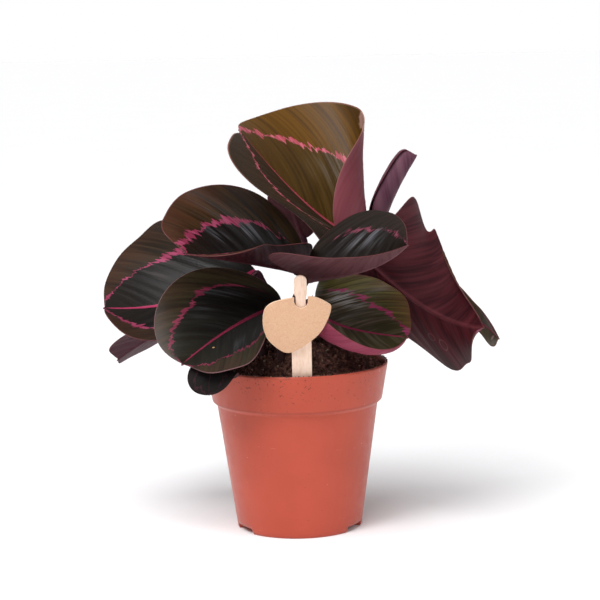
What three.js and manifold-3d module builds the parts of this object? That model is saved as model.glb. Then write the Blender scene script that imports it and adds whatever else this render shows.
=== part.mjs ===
// A potted calathea: a nursery plant with broad leaves in a thin plastic pot, its soil, and a
// wooden stick that carries a small tag. Millimetres, +Z up, the front is -Y, and the origin is
// the middle of the pot's foot, on the surface that it stands on.

import * as THREE from 'three';
import { mergeVertices } from 'three/addons/utils/BufferGeometryUtils.js';
import Module from 'manifold-3d';

const wasm = await Module();
wasm.setup();

// ---- driving dimensions -------------------------------------------------------------------

const CLEARANCE = 0.3;            // between pieces that rest in or on each other

const POT_HEIGHT = 82;
const RIM_RADIUS = 45;            // outside, at the top of the collar
const COLLAR_BOTTOM_Z = 64;
const COLLAR_BOTTOM_RADIUS = 42;
const BODY_TOP_Z = 61.8;          // where the body's wall turns out under the collar
const BODY_TOP_RADIUS = 39.7;
const FOOT_RADIUS = 30.9;
const FOOT_INNER_RADIUS = 26.3;
const FOOT_HEIGHT = 2.8;
const WALL = 1.2;
const POT_SEGMENTS = 48;
const NOTCH_WIDTH = 15;
const NOTCH_HEIGHT = 2.7;
const NOTCH_CORNER = 1.3;
const NOTCH_ANGLES = [-62, 62, 180];   // degrees from the front, round +Z
const DRAIN_COUNT = 6;
const DRAIN_RADIUS = 3.5;
const DRAIN_CIRCLE = 18;

const SOIL_TOP = 80;
const SOIL_BUMP = 0.9;
const MOUND_HEIGHT = 12;          // the soil rises to a low mound round the stalks
const MOUND_MIDDLE = [2, 4];
const MOUND_FLAT = 16;            // radius of the mound's top
const MOUND_REACH = 38;           // radius of its foot
const ROOT_DEPTH = 16;            // how far a stalk goes down into the soil

const BLADE_THICKNESS = 0.7;
const MIDRIB_DEPTH = 0.9;         // how far the midrib stands out below the blade at its base
const TIP_POINT = 0.02;           // share of the blade's length that is the drawn-out point
const TIP_WIDTH = 0.07;           // that point's half width, as a share of the blade's
const SWEEP_FADE = 30;            // the power of t by which a half's sweep dies away at the tip
const BLADE_START = 0.004;
const BLADE_END = 0.99;
const BLADE_ROWS = 12;
const HALF_COLUMNS = [0.05, 0.25, 0.5, 0.75, 0.92, 1];

const STALK_SIDES = 6;
const STALK_STEPS = 10;
const STALK_RADIUS = 2.1;         // at the soil
const STALK_TOP_RADIUS = 1.4;
const KNUCKLE_RADIUS = 1.7;       // the swollen joint under the blade
const KNUCKLE_SHARE = 0.86;       // where along the stalk the swelling starts
const RIB_ROD_END = 0.14;         // how far the stalk runs on under the blade

const LABEL_SLOPE = 0.24;         // mm forward per mm of height
const LABEL_Y = -46;              // the stick's middle plane at LABEL_Z
const LABEL_Z = 105;
const STICK_THICKNESS = 1.2;
const STICK_MIDDLE_X = 2.6;
const STICK_WIDTH = 9.4;
const STICK_NECK_WIDTH = 4.8;
const STICK_HEAD_WIDTH = 6;
const STICK_BOTTOM = -52;         // these run along the stick, from LABEL_Z
const STICK_SHOULDER = 8;
const STICK_HEAD_START = 17.6;
const STICK_TOP = 27.2;
const TAG_THICKNESS = 1;
const TAG_NOTCH_LEFT = -0.4;
const TAG_NOTCH_RIGHT = 5.9;
const TAG_NOTCH_BOTTOM = 11.4;

// ---- solids -------------------------------------------------------------------------------

// a closed geometry with shared corners, as a solid that can be joined and cut
function toSolid(geometry) {
  const bare = geometry.clone();
  bare.deleteAttribute('normal');
  bare.deleteAttribute('uv');
  const merged = mergeVertices(bare, 1e-4);
  return new wasm.Manifold(new wasm.Mesh({
    numProp: 3,
    vertProperties: new Float32Array(merged.attributes.position.array),
    triVerts: new Uint32Array(merged.index.array),
  }));
}

function toGeometry(solid) {
  const mesh = solid.getMesh();
  const geometry = new THREE.BufferGeometry();
  geometry.setAttribute('position', new THREE.BufferAttribute(mesh.vertProperties, 3));
  geometry.setIndex(new THREE.BufferAttribute(mesh.triVerts, 1));
  geometry.computeVertexNormals();
  return geometry;
}

// corners and triangles as a geometry
function fromTriangles(points, triangles) {
  const geometry = new THREE.BufferGeometry();
  const values = points.flatMap((point) => point.toArray());
  geometry.setAttribute('position', new THREE.Float32BufferAttribute(values, 3));
  geometry.setIndex(triangles);
  return geometry;
}

// a profile of [radius, height] pairs from axis to axis, turned round +Z
function turned(profile, segments) {
  const points = profile.map(([radius, height]) => new THREE.Vector2(radius, height));
  return new THREE.LatheGeometry(points, segments).rotateX(Math.PI / 2);
}

function namedMesh(name, geometry, color, roughness) {
  const material = new THREE.MeshStandardMaterial({ color, roughness, metalness: 0 });
  const mesh = new THREE.Mesh(geometry, material);
  mesh.name = name;
  return mesh;
}

// a round rod along the points, with a radius at each, its ends closed
function rod(points, radii, sides) {
  const corners = [];
  const triangles = [];
  const last = points.length - 1;
  let side = new THREE.Vector3(1, 0, 0);
  points.forEach((point, i) => {
    const along = points[Math.min(i + 1, last)].clone().sub(points[Math.max(i - 1, 0)]).normalize();
    side = side.clone().addScaledVector(along, -side.dot(along)).normalize();
    const up = along.clone().cross(side);
    for (let k = 0; k < sides; k += 1) {
      const angle = (2 * Math.PI * k) / sides;
      corners.push(point.clone()
        .addScaledVector(side, radii[i] * Math.cos(angle))
        .addScaledVector(up, radii[i] * Math.sin(angle)));
    }
  });
  for (let i = 0; i < last; i += 1) {
    for (let k = 0; k < sides; k += 1) {
      const a = i * sides + k;
      const b = i * sides + ((k + 1) % sides);
      triangles.push(a, b, b + sides, a, b + sides, a + sides);
    }
  }
  for (let k = 1; k < sides - 1; k += 1) {
    triangles.push(0, k + 1, k);
    triangles.push(last * sides, last * sides + k, last * sides + k + 1);
  }
  return toSolid(fromTriangles(corners, triangles));
}

// ---- pot ----------------------------------------------------------------------------------

// the inside of the wall, from the floor up to the lip
const wallInside = [
  [FOOT_RADIUS - WALL + 0.5, FOOT_HEIGHT + WALL],
  [BODY_TOP_RADIUS - WALL - 0.1, BODY_TOP_Z + 0.5],
  [COLLAR_BOTTOM_RADIUS - WALL - 0.1, COLLAR_BOTTOM_Z + 0.6],
  [RIM_RADIUS - WALL - 0.2, POT_HEIGHT - WALL],
];

function potSolid() {
  const outside = [
    [0, FOOT_HEIGHT],
    [FOOT_INNER_RADIUS - 0.4, FOOT_HEIGHT],
    [FOOT_INNER_RADIUS, 0],
    [FOOT_RADIUS - 0.4, 0],
    [FOOT_RADIUS, 0.5],
    [BODY_TOP_RADIUS, BODY_TOP_Z],
    [COLLAR_BOTTOM_RADIUS - 0.2, COLLAR_BOTTOM_Z - 0.4],
    [COLLAR_BOTTOM_RADIUS, COLLAR_BOTTOM_Z],
    [RIM_RADIUS - 0.1, POT_HEIGHT - 1.4],
    [RIM_RADIUS, POT_HEIGHT - 0.6],
    [RIM_RADIUS - 0.4, POT_HEIGHT],
    [RIM_RADIUS - WALL + 0.1, POT_HEIGHT],
  ];
  const inside = [...wallInside].reverse();
  const shell = toSolid(turned([...outside, ...inside, [0, FOOT_HEIGHT + WALL]], POT_SEGMENTS));
  const cutters = [...NOTCH_ANGLES.map(notchCutter), ...drainCutters()];
  return cutters.reduce((body, cutter) => body.subtract(cutter), shell);
}

// an arched slot across the foot ring, turned to its place round the pot
function notchCutter(degrees) {
  const half = NOTCH_WIDTH / 2;
  const outline = new THREE.Shape();
  outline.moveTo(-half, -1);
  outline.lineTo(half, -1);
  outline.lineTo(half, NOTCH_HEIGHT - NOTCH_CORNER);
  outline.absarc(half - NOTCH_CORNER, NOTCH_HEIGHT - NOTCH_CORNER, NOTCH_CORNER, 0, Math.PI / 2);
  outline.absarc(NOTCH_CORNER - half, NOTCH_HEIGHT - NOTCH_CORNER, NOTCH_CORNER, Math.PI / 2, Math.PI);
  const depth = FOOT_RADIUS - FOOT_INNER_RADIUS + 8;
  const slot = new THREE.ExtrudeGeometry(outline, { depth, bevelEnabled: false, curveSegments: 4 });
  slot.rotateX(Math.PI / 2);
  slot.translate(0, -(FOOT_INNER_RADIUS - 4), 0);
  slot.rotateZ(THREE.MathUtils.degToRad(degrees));
  return toSolid(slot);
}

function drainCutters() {
  const cutters = [];
  for (let i = 0; i < DRAIN_COUNT; i += 1) {
    const angle = (2 * Math.PI * i) / DRAIN_COUNT;
    const hole = new THREE.CylinderGeometry(DRAIN_RADIUS, DRAIN_RADIUS, 10, 20);
    hole.rotateX(Math.PI / 2);
    hole.translate(DRAIN_CIRCLE * Math.cos(angle), DRAIN_CIRCLE * Math.sin(angle), FOOT_HEIGHT);
    cutters.push(toSolid(hole));
  }
  return cutters;
}

// ---- leaves -------------------------------------------------------------------------------

// Each blade is drawn from its midrib, a curve through base, middle and tip, and from the way
// that its upper side faces. Right and left are as seen on the upper side with the tip up. A
// half has its width, sweep (how far its margin is carried towards the tip) and lobe (how far
// back at the base), as shares of the width; lift, the degrees by which it rises from the
// midrib; and curl, the degrees that it turns on towards its margin. Lift and curl have values
// at the base, the middle and the tip, and wide, a share of the width, has them at even steps
// from base to tip. Wave is the height, number and start of the ripples of the margin.

function half(width, sweep, lobe, lift, curl, more = {}) {
  return { width, sweep, lobe, lift, curl, power: 1, wide: [1, 1, 1], wave: [0, 1, 0], ...more };
}

const leaves = [
  {
    name: 'leaf_top',
    root: [7, 8], bend: 0.25, arrive: [0.45, 0.1, 1],
    base: [40.6, 24.9, 137.9], middle: [12, 28, 152], tip: [-27, 14, 197],
    face: [0.86, -0.51, -0.11], egg: [0.46, 0.45],
    left: half(45, 0.96, 0.52, [73, 49, 50], [16, -9, -14], { wide: [0.91, 0.95, 1.1, 1.09, 0.67] }),
    right: half(58, 0.18, -0.32, [3, -7, -44], [169, 68, -25], {
      power: 3, wide: [1.13, 1.04, 1.12, 1.11, 0.77],
    }),
  },
  {
    name: 'leaf_left_upper',
    root: [-6, 3], bend: 0.3,
    base: [2.5, 13.5, 124.9], middle: [-24.2, -16.2, 133.7], tip: [-51, -49, 142],
    face: [0.27, -0.4, 0.87], egg: [0.42, 0.57],
    left: half(33, 0.23, 0.1, [48, 50, 33], [4, 0, -18], {
      wide: [0.52, 1, 0.75, 1.1, 1.02], wave: [0.6, 2, 0.1],
    }),
    right: half(38, 0.72, 0.56, [73, 36, 28], [34, -17, -42], { wide: [0.72, 0.99, 0.98, 0.87, 0.94] }),
  },
  {
    name: 'leaf_left_mid',
    root: [-12, 9], bend: 0.3,
    base: [-19, 22, 124], middle: [-58, 20, 110], tip: [-97, 17, 108],
    face: [0.5, -0.34, 0.8], egg: [0.4, 0.51],
    left: half(37, 0.28, 0.26, [36, 3, 27], [13, 14, 4], { wide: [1, 0.99, 1, 1.1, 0.94] }),
    right: half(49, 0.28, 0, [39, 17, 0], [11, -2, -11], { wide: [0.98, 1.02, 0.98, 1.04, 0.96] }),
  },
  {
    name: 'leaf_left_front',
    root: [-9, -9], bend: 0.3,
    base: [-6.5, -10.3, 111.5], middle: [-30, -23, 103.2], tip: [-54.3, -49, 89.3],
    face: [0.14, -0.37, 0.92], egg: [0.51, 0.48],
    left: half(34, 0.56, 0.18, [19, 11, 25], [-3, 7, -16], { wide: [0.89, 1.02, 1.01, 0.9, 0.94] }),
    right: half(34, 0.17, 0.48, [10, 28, 10], [-15, 0, -19], { wide: [0.95, 1.03, 1.04, 1.02, 0.95] }),
  },
  {
    name: 'leaf_left_low',
    root: [-16, -13], bend: 0.35, arrive: [-0.6, -0.7, -0.25],
    base: [-34, -39, 88.2], middle: [-39.6, -49.2, 86.7], tip: [-41, -54, 75.6],
    face: [-0.26, -0.93, 0.26], egg: [0.46, 0.48],
    left: half(13, 0.05, 0.33, [10, 15, 14], [-20, -14, -14]),
    right: half(13, 0.12, 0, [10, 11, 10], [-20, -19, -20], { wide: [0.5, 0.82, 1.02] }),
  },
  {
    name: 'leaf_left_back',
    root: [-12, 16], bend: 0.3,
    base: [-18, 32, 102], middle: [-57, 43, 96], tip: [-93, 39, 77],
    face: [-0.4, 0.53, 0.75], egg: [0.51, 0.38],
    left: half(25, 0.49, 0.3, [6, -3, 4], [0, -15, 0]),
    right: half(23, 0.34, 0.3, [10, 14, 13], [0, 5, 3], { wave: [0.8, 2.5, 0] }),
  },
  {
    name: 'leaf_center_right',
    root: [-7.5, -20.5], bend: 0.3, arrive: [0.6, 0.1, 1],
    base: [6, -23, 126], middle: [34, -40, 132], tip: [53, -54, 145],
    face: [-0.23, -0.36, 0.9], egg: [0.32, 0.63],
    left: half(31, 0.3, 0.46, [49, 50, 33], [-26, -58, -30], { wide: [0.86, 1.18, 1.14, 1.02, 0.97] }),
    right: half(39, 0.06, 0.46, [55, 39, 36], [-4, 8, -18], { wide: [0.99, 1.07, 0.88, 1.05, 1] }),
  },
  {
    name: 'leaf_right_front',
    root: [16, -9], bend: 0.3,
    base: [9.5, 3, 112.6], middle: [19.4, -10, 101.8], tip: [55, -27, 97],
    face: [-0.3, -0.32, 0.9], egg: [0.47, 0.47],
    left: half(30, 0.33, 0.8, [45, 23, 2], [28, -18, -14], { wide: [1.07, 0.98, 1.09, 1.15, 0.73] }),
    right: half(37, 0.13, -0.31, [50, 17, -20], [89, 101, 84], {
      power: 2, wide: [0.42, 0.92, 1.12, 1.15, 1.12],
    }),
  },
  {
    name: 'leaf_right_big',
    root: [21, 6], bend: 0.3,
    base: [31, -2, 137], middle: [65, 5, 106.3], tip: [92, -14, 99],
    face: [0.59, 0.79, -0.18], egg: [0.48, 0.53],
    left: half(37, 0.63, 0.03, [-32, 27, -49], [-12, 24, -73], { wide: [1.02, 0.87, 0.93, 0.58, 1.01] }),
    right: half(40, -0.59, 0.16, [-5, 7, -10], [-19, 0, -25], {
      wide: [0.67, 1.12, 0.83, 1.17, 1.07], wave: [1, 2, 0.3],
    }),
  },
  {
    name: 'leaf_rolled',
    root: [15, 24], bend: 0.3, arrive: [0.35, 0.2, 1],
    base: [44.4, 39.6, 144.5], middle: [52.3, 38.6, 162.4], tip: [63, 38.6, 180.4],
    face: [-0.7, -0.6, 0.4], egg: [0.3, 0.14],
    left: half(16, 0, 0, [15, 15, 15], [110, 150, 150]),
    right: half(16, 0, 0, [15, 15, 15], [170, 175, 190]),
  },
  {
    name: 'leaf_right_back',
    root: [7, 27], bend: 0.3,
    base: [36, 51, 106], middle: [80.8, 40, 99.8], tip: [99.5, -8, 92],
    face: [-0.79, -0.3, 0.54], egg: [0.51, 0.29],
    left: half(19, -0.03, 0.09, [17, 33, 49], [-2, 13, 36], { wide: [1, 0.99, 0.86, 0.59, 0.82] }),
    right: half(10, 0.37, 0.1, [19, 21, -3], [-1, 1, -27], { wide: [1, 1, 0.82, 0.47, 0.99] }),
  },
  {
    name: 'leaf_back_left',
    root: [-1, 20], bend: 0.3,
    base: [5, 40, 138.1], middle: [-1.4, 54, 153.7], tip: [-6.5, 66, 171.3],
    face: [0, 0.95, 0.3], egg: [0.38, 0.5],
    left: half(14, 0.1, 0.35, [-8, -8, -8], [-6, -6, -6], { wide: [1.2, 1.1, 1.05] }),
    right: half(13, 0.1, 0.2, [8, 8, 8], [0, 3, -1]),
  },
];

const vector = (values) => new THREE.Vector3(...values);

// the smooth curve through three values, at t = 0, 1/2 and 1
function through([first, second, third], t) {
  return first * (1 - t) * (1 - 2 * t) + second * 4 * t * (1 - t) + third * t * (2 * t - 1);
}

// the smooth curve through any number of values at even steps of t from 0 to 1
function stepped(values, t) {
  const points = values.map((value, i) => new THREE.Vector2(i, value));
  return new THREE.SplineCurve(points).getPoint(t).y;
}

// share of the half width at t: an egg that ends in a short drawn-out point
function widthShare(t, [nearBase, nearTip]) {
  const s = Math.min(t / (1 - TIP_POINT), 1);
  const widest = nearBase / (nearBase + nearTip);
  const eggAt = (x) => x ** nearBase * (1 - x) ** nearTip;
  const egg = eggAt(s) / eggAt(widest);
  const fromEnd = BLADE_END + 0.004 - t;
  const point = TIP_WIDTH * Math.min(fromEnd / (2 * TIP_POINT), 1) * Math.min(8 * t, 1);
  return (egg ** 6 + point ** 6) ** (1 / 6);
}

// the midrib at t: its point, its direction, the blade's own up and its right
function midrib(leaf, t) {
  const base = vector(leaf.base);
  const tip = vector(leaf.tip);
  const control = vector(leaf.middle).multiplyScalar(2).sub(base.clone().add(tip).multiplyScalar(0.5));
  const point = base.clone().multiplyScalar((1 - t) ** 2)
    .addScaledVector(control, 2 * t * (1 - t))
    .addScaledVector(tip, t * t);
  const along = control.clone().sub(base).multiplyScalar(1 - t)
    .addScaledVector(tip.clone().sub(control), t)
    .normalize();
  const up = vector(leaf.face);
  up.addScaledVector(along, -up.dot(along)).normalize();
  const right = along.clone().cross(up);
  return { point, along, up, right };
}

// a point of the blade's middle surface: share x of the half width out from the midrib
function bladePoint(leaf, sign, t, x) {
  const side = sign > 0 ? leaf.right : leaf.left;
  const { point, along, up, right } = midrib(leaf, t);
  const width = side.width * widthShare(t, leaf.egg) * stepped(side.wide, t);
  const lift = THREE.MathUtils.degToRad(through(side.lift, t));
  const curl = THREE.MathUtils.degToRad(through(side.curl, t));
  const steps = 24;
  let out = 0;
  let rise = 0;
  for (let i = 0; i < steps; i += 1) {
    const angle = lift + curl * (x * (i + 0.5) / steps) ** side.power;
    out += Math.cos(angle) * x / steps;
    rise += Math.sin(angle) * x / steps;
  }
  const [height, count, start] = side.wave;
  const fade = Math.sqrt(Math.sin(Math.PI * t));
  const ripple = height * fade * x * x * Math.sin(2 * Math.PI * (count * t + start));
  const edgeAngle = lift + curl * x ** side.power;
  const sweep = side.sweep * (1 - t ** SWEEP_FADE);
  const forward = sweep * x ** 1.5 - side.lobe * x * x * (1 - t) ** 3;
  return point
    .addScaledVector(right, sign * (width * out - ripple * Math.sin(edgeAngle)))
    .addScaledVector(up, width * rise + ripple * Math.cos(edgeAngle))
    .addScaledVector(along, width * forward);
}

// the direction square to one half of the blade, on its upper side
function bladeNormal(leaf, sign, t, x) {
  const step = 0.003;
  const nearT = Math.min(t + step, BLADE_END);
  const nearX = Math.max(x - step, 0);
  const lengthways = bladePoint(leaf, sign, nearT, x).sub(bladePoint(leaf, sign, nearT - 2 * step, x));
  const across = bladePoint(leaf, sign, t, nearX + 2 * step).sub(bladePoint(leaf, sign, t, nearX));
  return lengthways.cross(across).multiplyScalar(-sign).normalize();
}

// columns from the left margin to the right one, as [sign, x]
const columns = [
  ...[...HALF_COLUMNS].reverse().map((x) => [-1, x]),
  [1, 0],
  ...HALF_COLUMNS.map((x) => [1, x]),
];

function bladeSolid(leaf) {
  const upper = [];
  const lower = [];
  for (let i = 0; i <= BLADE_ROWS; i += 1) {
    const ease = 0.5 - 0.5 * Math.cos((Math.PI * i) / BLADE_ROWS);
    const t = BLADE_START + (BLADE_END - BLADE_START) * ease;
    columns.forEach(([sign, x]) => {
      const point = bladePoint(leaf, sign, t, x);
      const normal = bladeNormal(leaf, sign, t, x);
      let above = BLADE_THICKNESS / 2;
      let below = BLADE_THICKNESS / 2;
      if (x === 0) {
        normal.add(bladeNormal(leaf, -1, t, 0)).normalize();
        const mitre = Math.max(normal.dot(bladeNormal(leaf, 1, t, 0)), 0.6);
        above /= mitre;
        below = below / mitre + MIDRIB_DEPTH * (1 - t);
      }
      upper.push(point.clone().addScaledVector(normal, above));
      lower.push(point.clone().addScaledVector(normal, -below));
    });
  }
  const perRow = columns.length;
  const shift = upper.length;
  const triangles = [];
  // one square of the upper side and the same square below, cut along the same diagonal
  for (let i = 0; i < BLADE_ROWS; i += 1) {
    for (let j = 0; j < perRow - 1; j += 1) {
      const a = i * perRow + j;
      const b = a + 1;
      const c = a + perRow;
      const d = c + 1;
      triangles.push(a, b, d, a, d, c);
      triangles.push(shift + a, shift + d, shift + b, shift + a, shift + c, shift + d);
    }
  }
  // the margin all round joins the two sides
  const ring = [];
  for (let j = 0; j < perRow - 1; j += 1) ring.push(j);
  for (let i = 0; i < BLADE_ROWS; i += 1) ring.push(i * perRow + perRow - 1);
  for (let j = perRow - 1; j > 0; j -= 1) ring.push(BLADE_ROWS * perRow + j);
  for (let i = BLADE_ROWS; i > 0; i -= 1) ring.push(i * perRow);
  ring.forEach((a, k) => {
    const b = ring[(k + 1) % ring.length];
    triangles.push(b, a, shift + a, b, shift + a, shift + b);
  });
  return toSolid(fromTriangles([...upper, ...lower], triangles));
}

// how much higher than its border the soil is at a place, by its mound
function moundHeight(x, y) {
  const away = Math.hypot(x - MOUND_MIDDLE[0], y - MOUND_MIDDLE[1]);
  return MOUND_HEIGHT * (1 - THREE.MathUtils.smoothstep(away, MOUND_FLAT, MOUND_REACH));
}

// the stalk's middle line, straight up out of the soil and then bent over to the blade's base
function stalkPath(leaf) {
  const [x, y] = leaf.root;
  const start = new THREE.Vector3(x, y, SOIL_TOP + moundHeight(x, y));
  const end = vector(leaf.base);
  const length = start.distanceTo(end);
  const { along } = midrib(leaf, 0);
  const steep = along.multiplyScalar(0.5).add(new THREE.Vector3(0, 0, 0.85));
  const arrive = (leaf.arrive ? vector(leaf.arrive) : steep).normalize();
  return new THREE.CubicBezierCurve3(
    start,
    start.clone().add(new THREE.Vector3(0, 0, 0.45 * length)),
    end.clone().addScaledVector(arrive, -leaf.bend * length),
    end,
  );
}

function stalkSolid(leaf) {
  const curve = stalkPath(leaf);
  const points = [new THREE.Vector3(leaf.root[0], leaf.root[1], SOIL_TOP - ROOT_DEPTH)];
  const radii = [STALK_RADIUS];
  for (let i = 0; i <= STALK_STEPS; i += 1) {
    const share = i / STALK_STEPS;
    points.push(curve.getPoint(share));
    const slim = STALK_RADIUS + (STALK_TOP_RADIUS - STALK_RADIUS) * share;
    radii.push(share > KNUCKLE_SHARE ? KNUCKLE_RADIUS : slim);
  }
  return rod(points, radii, STALK_SIDES);
}

// the stalk's thick end runs on under the midrib and tapers out
function ribSolid(leaf) {
  const points = [];
  const radii = [];
  for (let i = 0; i <= 4; i += 1) {
    const t = (RIB_ROD_END * i) / 4;
    const { point, up } = midrib(leaf, t);
    const radius = KNUCKLE_RADIUS * (1 - 0.65 * i / 4);
    points.push(point.addScaledVector(up, -0.7 * radius));
    radii.push(radius);
  }
  return rod(points, radii, STALK_SIDES);
}

function leafSolid(leaf) {
  const { point, up } = midrib(leaf, 0);
  const knuckle = new THREE.OctahedronGeometry(KNUCKLE_RADIUS * 1.25, 1);
  knuckle.translate(...point.addScaledVector(up, -0.35 * KNUCKLE_RADIUS).toArray());
  return bladeSolid(leaf)
    .add(ribSolid(leaf))
    .add(stalkSolid(leaf))
    .add(toSolid(knuckle));
}

// ---- soil ---------------------------------------------------------------------------------

// the height of the soil's lumpy top, from waves of different lengths and directions
function soilHeight(x, y) {
  const broad = Math.sin(0.16 * x + 0.9) * Math.cos(0.19 * y - 0.4);
  const lumps = Math.sin(0.55 * x + 0.31 * y) * Math.sin(0.47 * y - 0.38 * x + 1.7);
  const crumbs = Math.sin(1.1 * x - 0.8 * y + 0.5) * Math.cos(0.9 * y + 0.7 * x);
  return SOIL_TOP + moundHeight(x, y) + SOIL_BUMP * (0.5 * broad + 0.35 * lumps + 0.3 * crumbs);
}

function soilSolid() {
  const sideOf = ([radius, height]) => [radius - CLEARANCE, height + 0.4 * CLEARANCE];
  const [foot, bodyTop, collarBottom, rim] = wallInside.map(sideOf);
  const topShare = (SOIL_TOP - collarBottom[1]) / (rim[1] - collarBottom[1]);
  const topRadius = collarBottom[0] + (rim[0] - collarBottom[0]) * topShare;
  const rings = [1, 0.86, 0.66, 0.42, 0.2];
  const profile = [
    [0, FOOT_HEIGHT + WALL + CLEARANCE],
    [foot[0], FOOT_HEIGHT + WALL + CLEARANCE],
    bodyTop,
    collarBottom,
    ...rings.map((share) => [topRadius * share, SOIL_TOP]),
    [0, SOIL_TOP],
  ];
  const body = turned(profile, POT_SEGMENTS);
  const position = body.attributes.position;
  for (let i = 0; i < position.count; i += 1) {
    if (position.getZ(i) > SOIL_TOP - 0.01) {
      position.setZ(i, soilHeight(position.getX(i), position.getY(i)));
    }
  }
  const holes = leaves.map(stalkHole);
  return [...holes, stickSlot()].reduce((soil, hole) => soil.subtract(hole), toSolid(body));
}

// a plain upright hole, wider than the stalk by the clearance
function stalkHole(leaf) {
  const [x, y] = leaf.root;
  const bottom = new THREE.Vector3(x, y, SOIL_TOP - ROOT_DEPTH - CLEARANCE);
  const top = new THREE.Vector3(x, y, SOIL_TOP + MOUND_HEIGHT + 10);
  const radius = STALK_RADIUS + CLEARANCE / Math.cos(Math.PI / STALK_SIDES) + 0.05;
  return rod([bottom, top], [radius, radius], STALK_SIDES);
}

// ---- label --------------------------------------------------------------------------------

// the stick's outline: a broad foot, a narrow neck and a rounded head
function stickOutline(grow) {
  const body = STICK_WIDTH / 2 + grow;
  const neck = STICK_NECK_WIDTH / 2 + grow;
  const head = STICK_HEAD_WIDTH / 2 + grow;
  const shape = new THREE.Shape();
  shape.moveTo(-body, STICK_BOTTOM - grow);
  shape.lineTo(body, STICK_BOTTOM - grow);
  shape.lineTo(body, STICK_SHOULDER);
  shape.lineTo(neck, STICK_SHOULDER + 2);
  shape.lineTo(neck, STICK_HEAD_START - 0.8);
  shape.lineTo(head, STICK_HEAD_START);
  shape.absarc(0, STICK_TOP - head, head, 0, Math.PI);
  shape.lineTo(-head, STICK_HEAD_START);
  shape.lineTo(-neck, STICK_HEAD_START - 0.8);
  shape.lineTo(-neck, STICK_SHOULDER + 2);
  shape.lineTo(-body, STICK_SHOULDER);
  return shape;
}

function plate(shape, thickness) {
  const options = { depth: thickness, bevelEnabled: false, curveSegments: 12 };
  return new THREE.ExtrudeGeometry(shape, options).translate(0, 0, -thickness / 2);
}

// turns a flat drawing upright, leans it forward and sets it at its place
const lean = Math.atan(LABEL_SLOPE);
const labelPlace = new THREE.Matrix4()
  .makeTranslation(0, LABEL_Y, LABEL_Z)
  .multiply(new THREE.Matrix4().makeRotationX(Math.PI / 2 + lean));

function stickSlot() {
  const slot = plate(stickOutline(CLEARANCE), STICK_THICKNESS + 2 * CLEARANCE);
  slot.translate(STICK_MIDDLE_X, 0, 0).applyMatrix4(labelPlace);
  return toSolid(slot);
}

// the tag's outline, a rounded triangle that stands on its tip, drawn round from its left end
const tagCorners = [
  [-15.4, 4.9], [-13.7, 12.1], [-7, 15.6], [7, 17.2], [15.4, 13.6], [16.7, 10.6],
  [14.3, 3.6], [10, -2.8], [1.4, -9.2], [-4.8, -11], [-10.8, -6.9], [-14, -2.3],
];

function tagGeometry() {
  const curve = new THREE.CatmullRomCurve3(tagCorners.map(([x, y]) => new THREE.Vector3(x, y, 0)), true);
  const points = curve.getPoints(48).slice(0, -1).reverse();
  const outline = new THREE.Shape(points.map(({ x, y }) => new THREE.Vector2(x, y)));
  const radius = (TAG_NOTCH_RIGHT - TAG_NOTCH_LEFT) / 2;
  const notch = new THREE.Shape();
  notch.moveTo(TAG_NOTCH_RIGHT, 30);
  notch.lineTo(TAG_NOTCH_LEFT, 30);
  notch.lineTo(TAG_NOTCH_LEFT, TAG_NOTCH_BOTTOM + radius);
  notch.absarc(TAG_NOTCH_LEFT + radius, TAG_NOTCH_BOTTOM + radius, radius, Math.PI, 2 * Math.PI);
  const cut = toSolid(plate(outline, TAG_THICKNESS)).subtract(toSolid(plate(notch, 3 * TAG_THICKNESS)));
  return toGeometry(cut);
}

// ---- the whole ----------------------------------------------------------------------------

const plant = new THREE.Group();
plant.add(namedMesh('pot', toGeometry(potSolid()), 0xc1593f, 0.55));
plant.add(namedMesh('soil', toGeometry(soilSolid()), 0x241c19, 0.95));

const label = new THREE.Group();
label.applyMatrix4(labelPlace);
const stick = namedMesh('label_stick', plate(stickOutline(0), STICK_THICKNESS), 0xf2d6b8, 0.7);
stick.position.x = STICK_MIDDLE_X;
const tag = namedMesh('label_tag', tagGeometry(), 0xdfbd9c, 0.8);
tag.position.z = (STICK_THICKNESS + TAG_THICKNESS) / 2 + CLEARANCE;
label.add(stick, tag);
plant.add(label);

for (const leaf of leaves) {
  plant.add(namedMesh(leaf.name, toGeometry(leafSolid(leaf)), 0x3a3d26, 0.45));
}

export default plant;
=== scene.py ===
import math
import bmesh
import bpy
import numpy as np
from mathutils import Matrix, Vector


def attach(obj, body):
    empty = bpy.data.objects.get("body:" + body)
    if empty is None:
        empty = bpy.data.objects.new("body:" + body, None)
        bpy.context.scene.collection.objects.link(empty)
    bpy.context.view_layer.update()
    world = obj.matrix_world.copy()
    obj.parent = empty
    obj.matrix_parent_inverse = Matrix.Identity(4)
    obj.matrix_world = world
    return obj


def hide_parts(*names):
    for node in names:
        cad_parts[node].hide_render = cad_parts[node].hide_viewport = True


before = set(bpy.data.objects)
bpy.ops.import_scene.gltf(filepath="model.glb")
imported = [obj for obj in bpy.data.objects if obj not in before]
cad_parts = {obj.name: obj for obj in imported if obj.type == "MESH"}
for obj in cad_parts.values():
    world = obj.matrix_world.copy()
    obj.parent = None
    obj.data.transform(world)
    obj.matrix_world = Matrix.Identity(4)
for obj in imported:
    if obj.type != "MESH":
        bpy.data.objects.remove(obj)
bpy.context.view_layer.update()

mm = 0.001  # shapes are worked out in millimetres and stored in metres
print("frame loaded:", len(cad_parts), "nodes")


# camera: the photograph's place, its angle and its roll

cameraSet = {
    "place": (2.3, -950, 246), "pitchDown": 8.0, "roll": 1.17, "focalPixels": 1950,
    "imagePixels": 600, "sensorWidth": 36, "farthest": 20}


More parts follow.
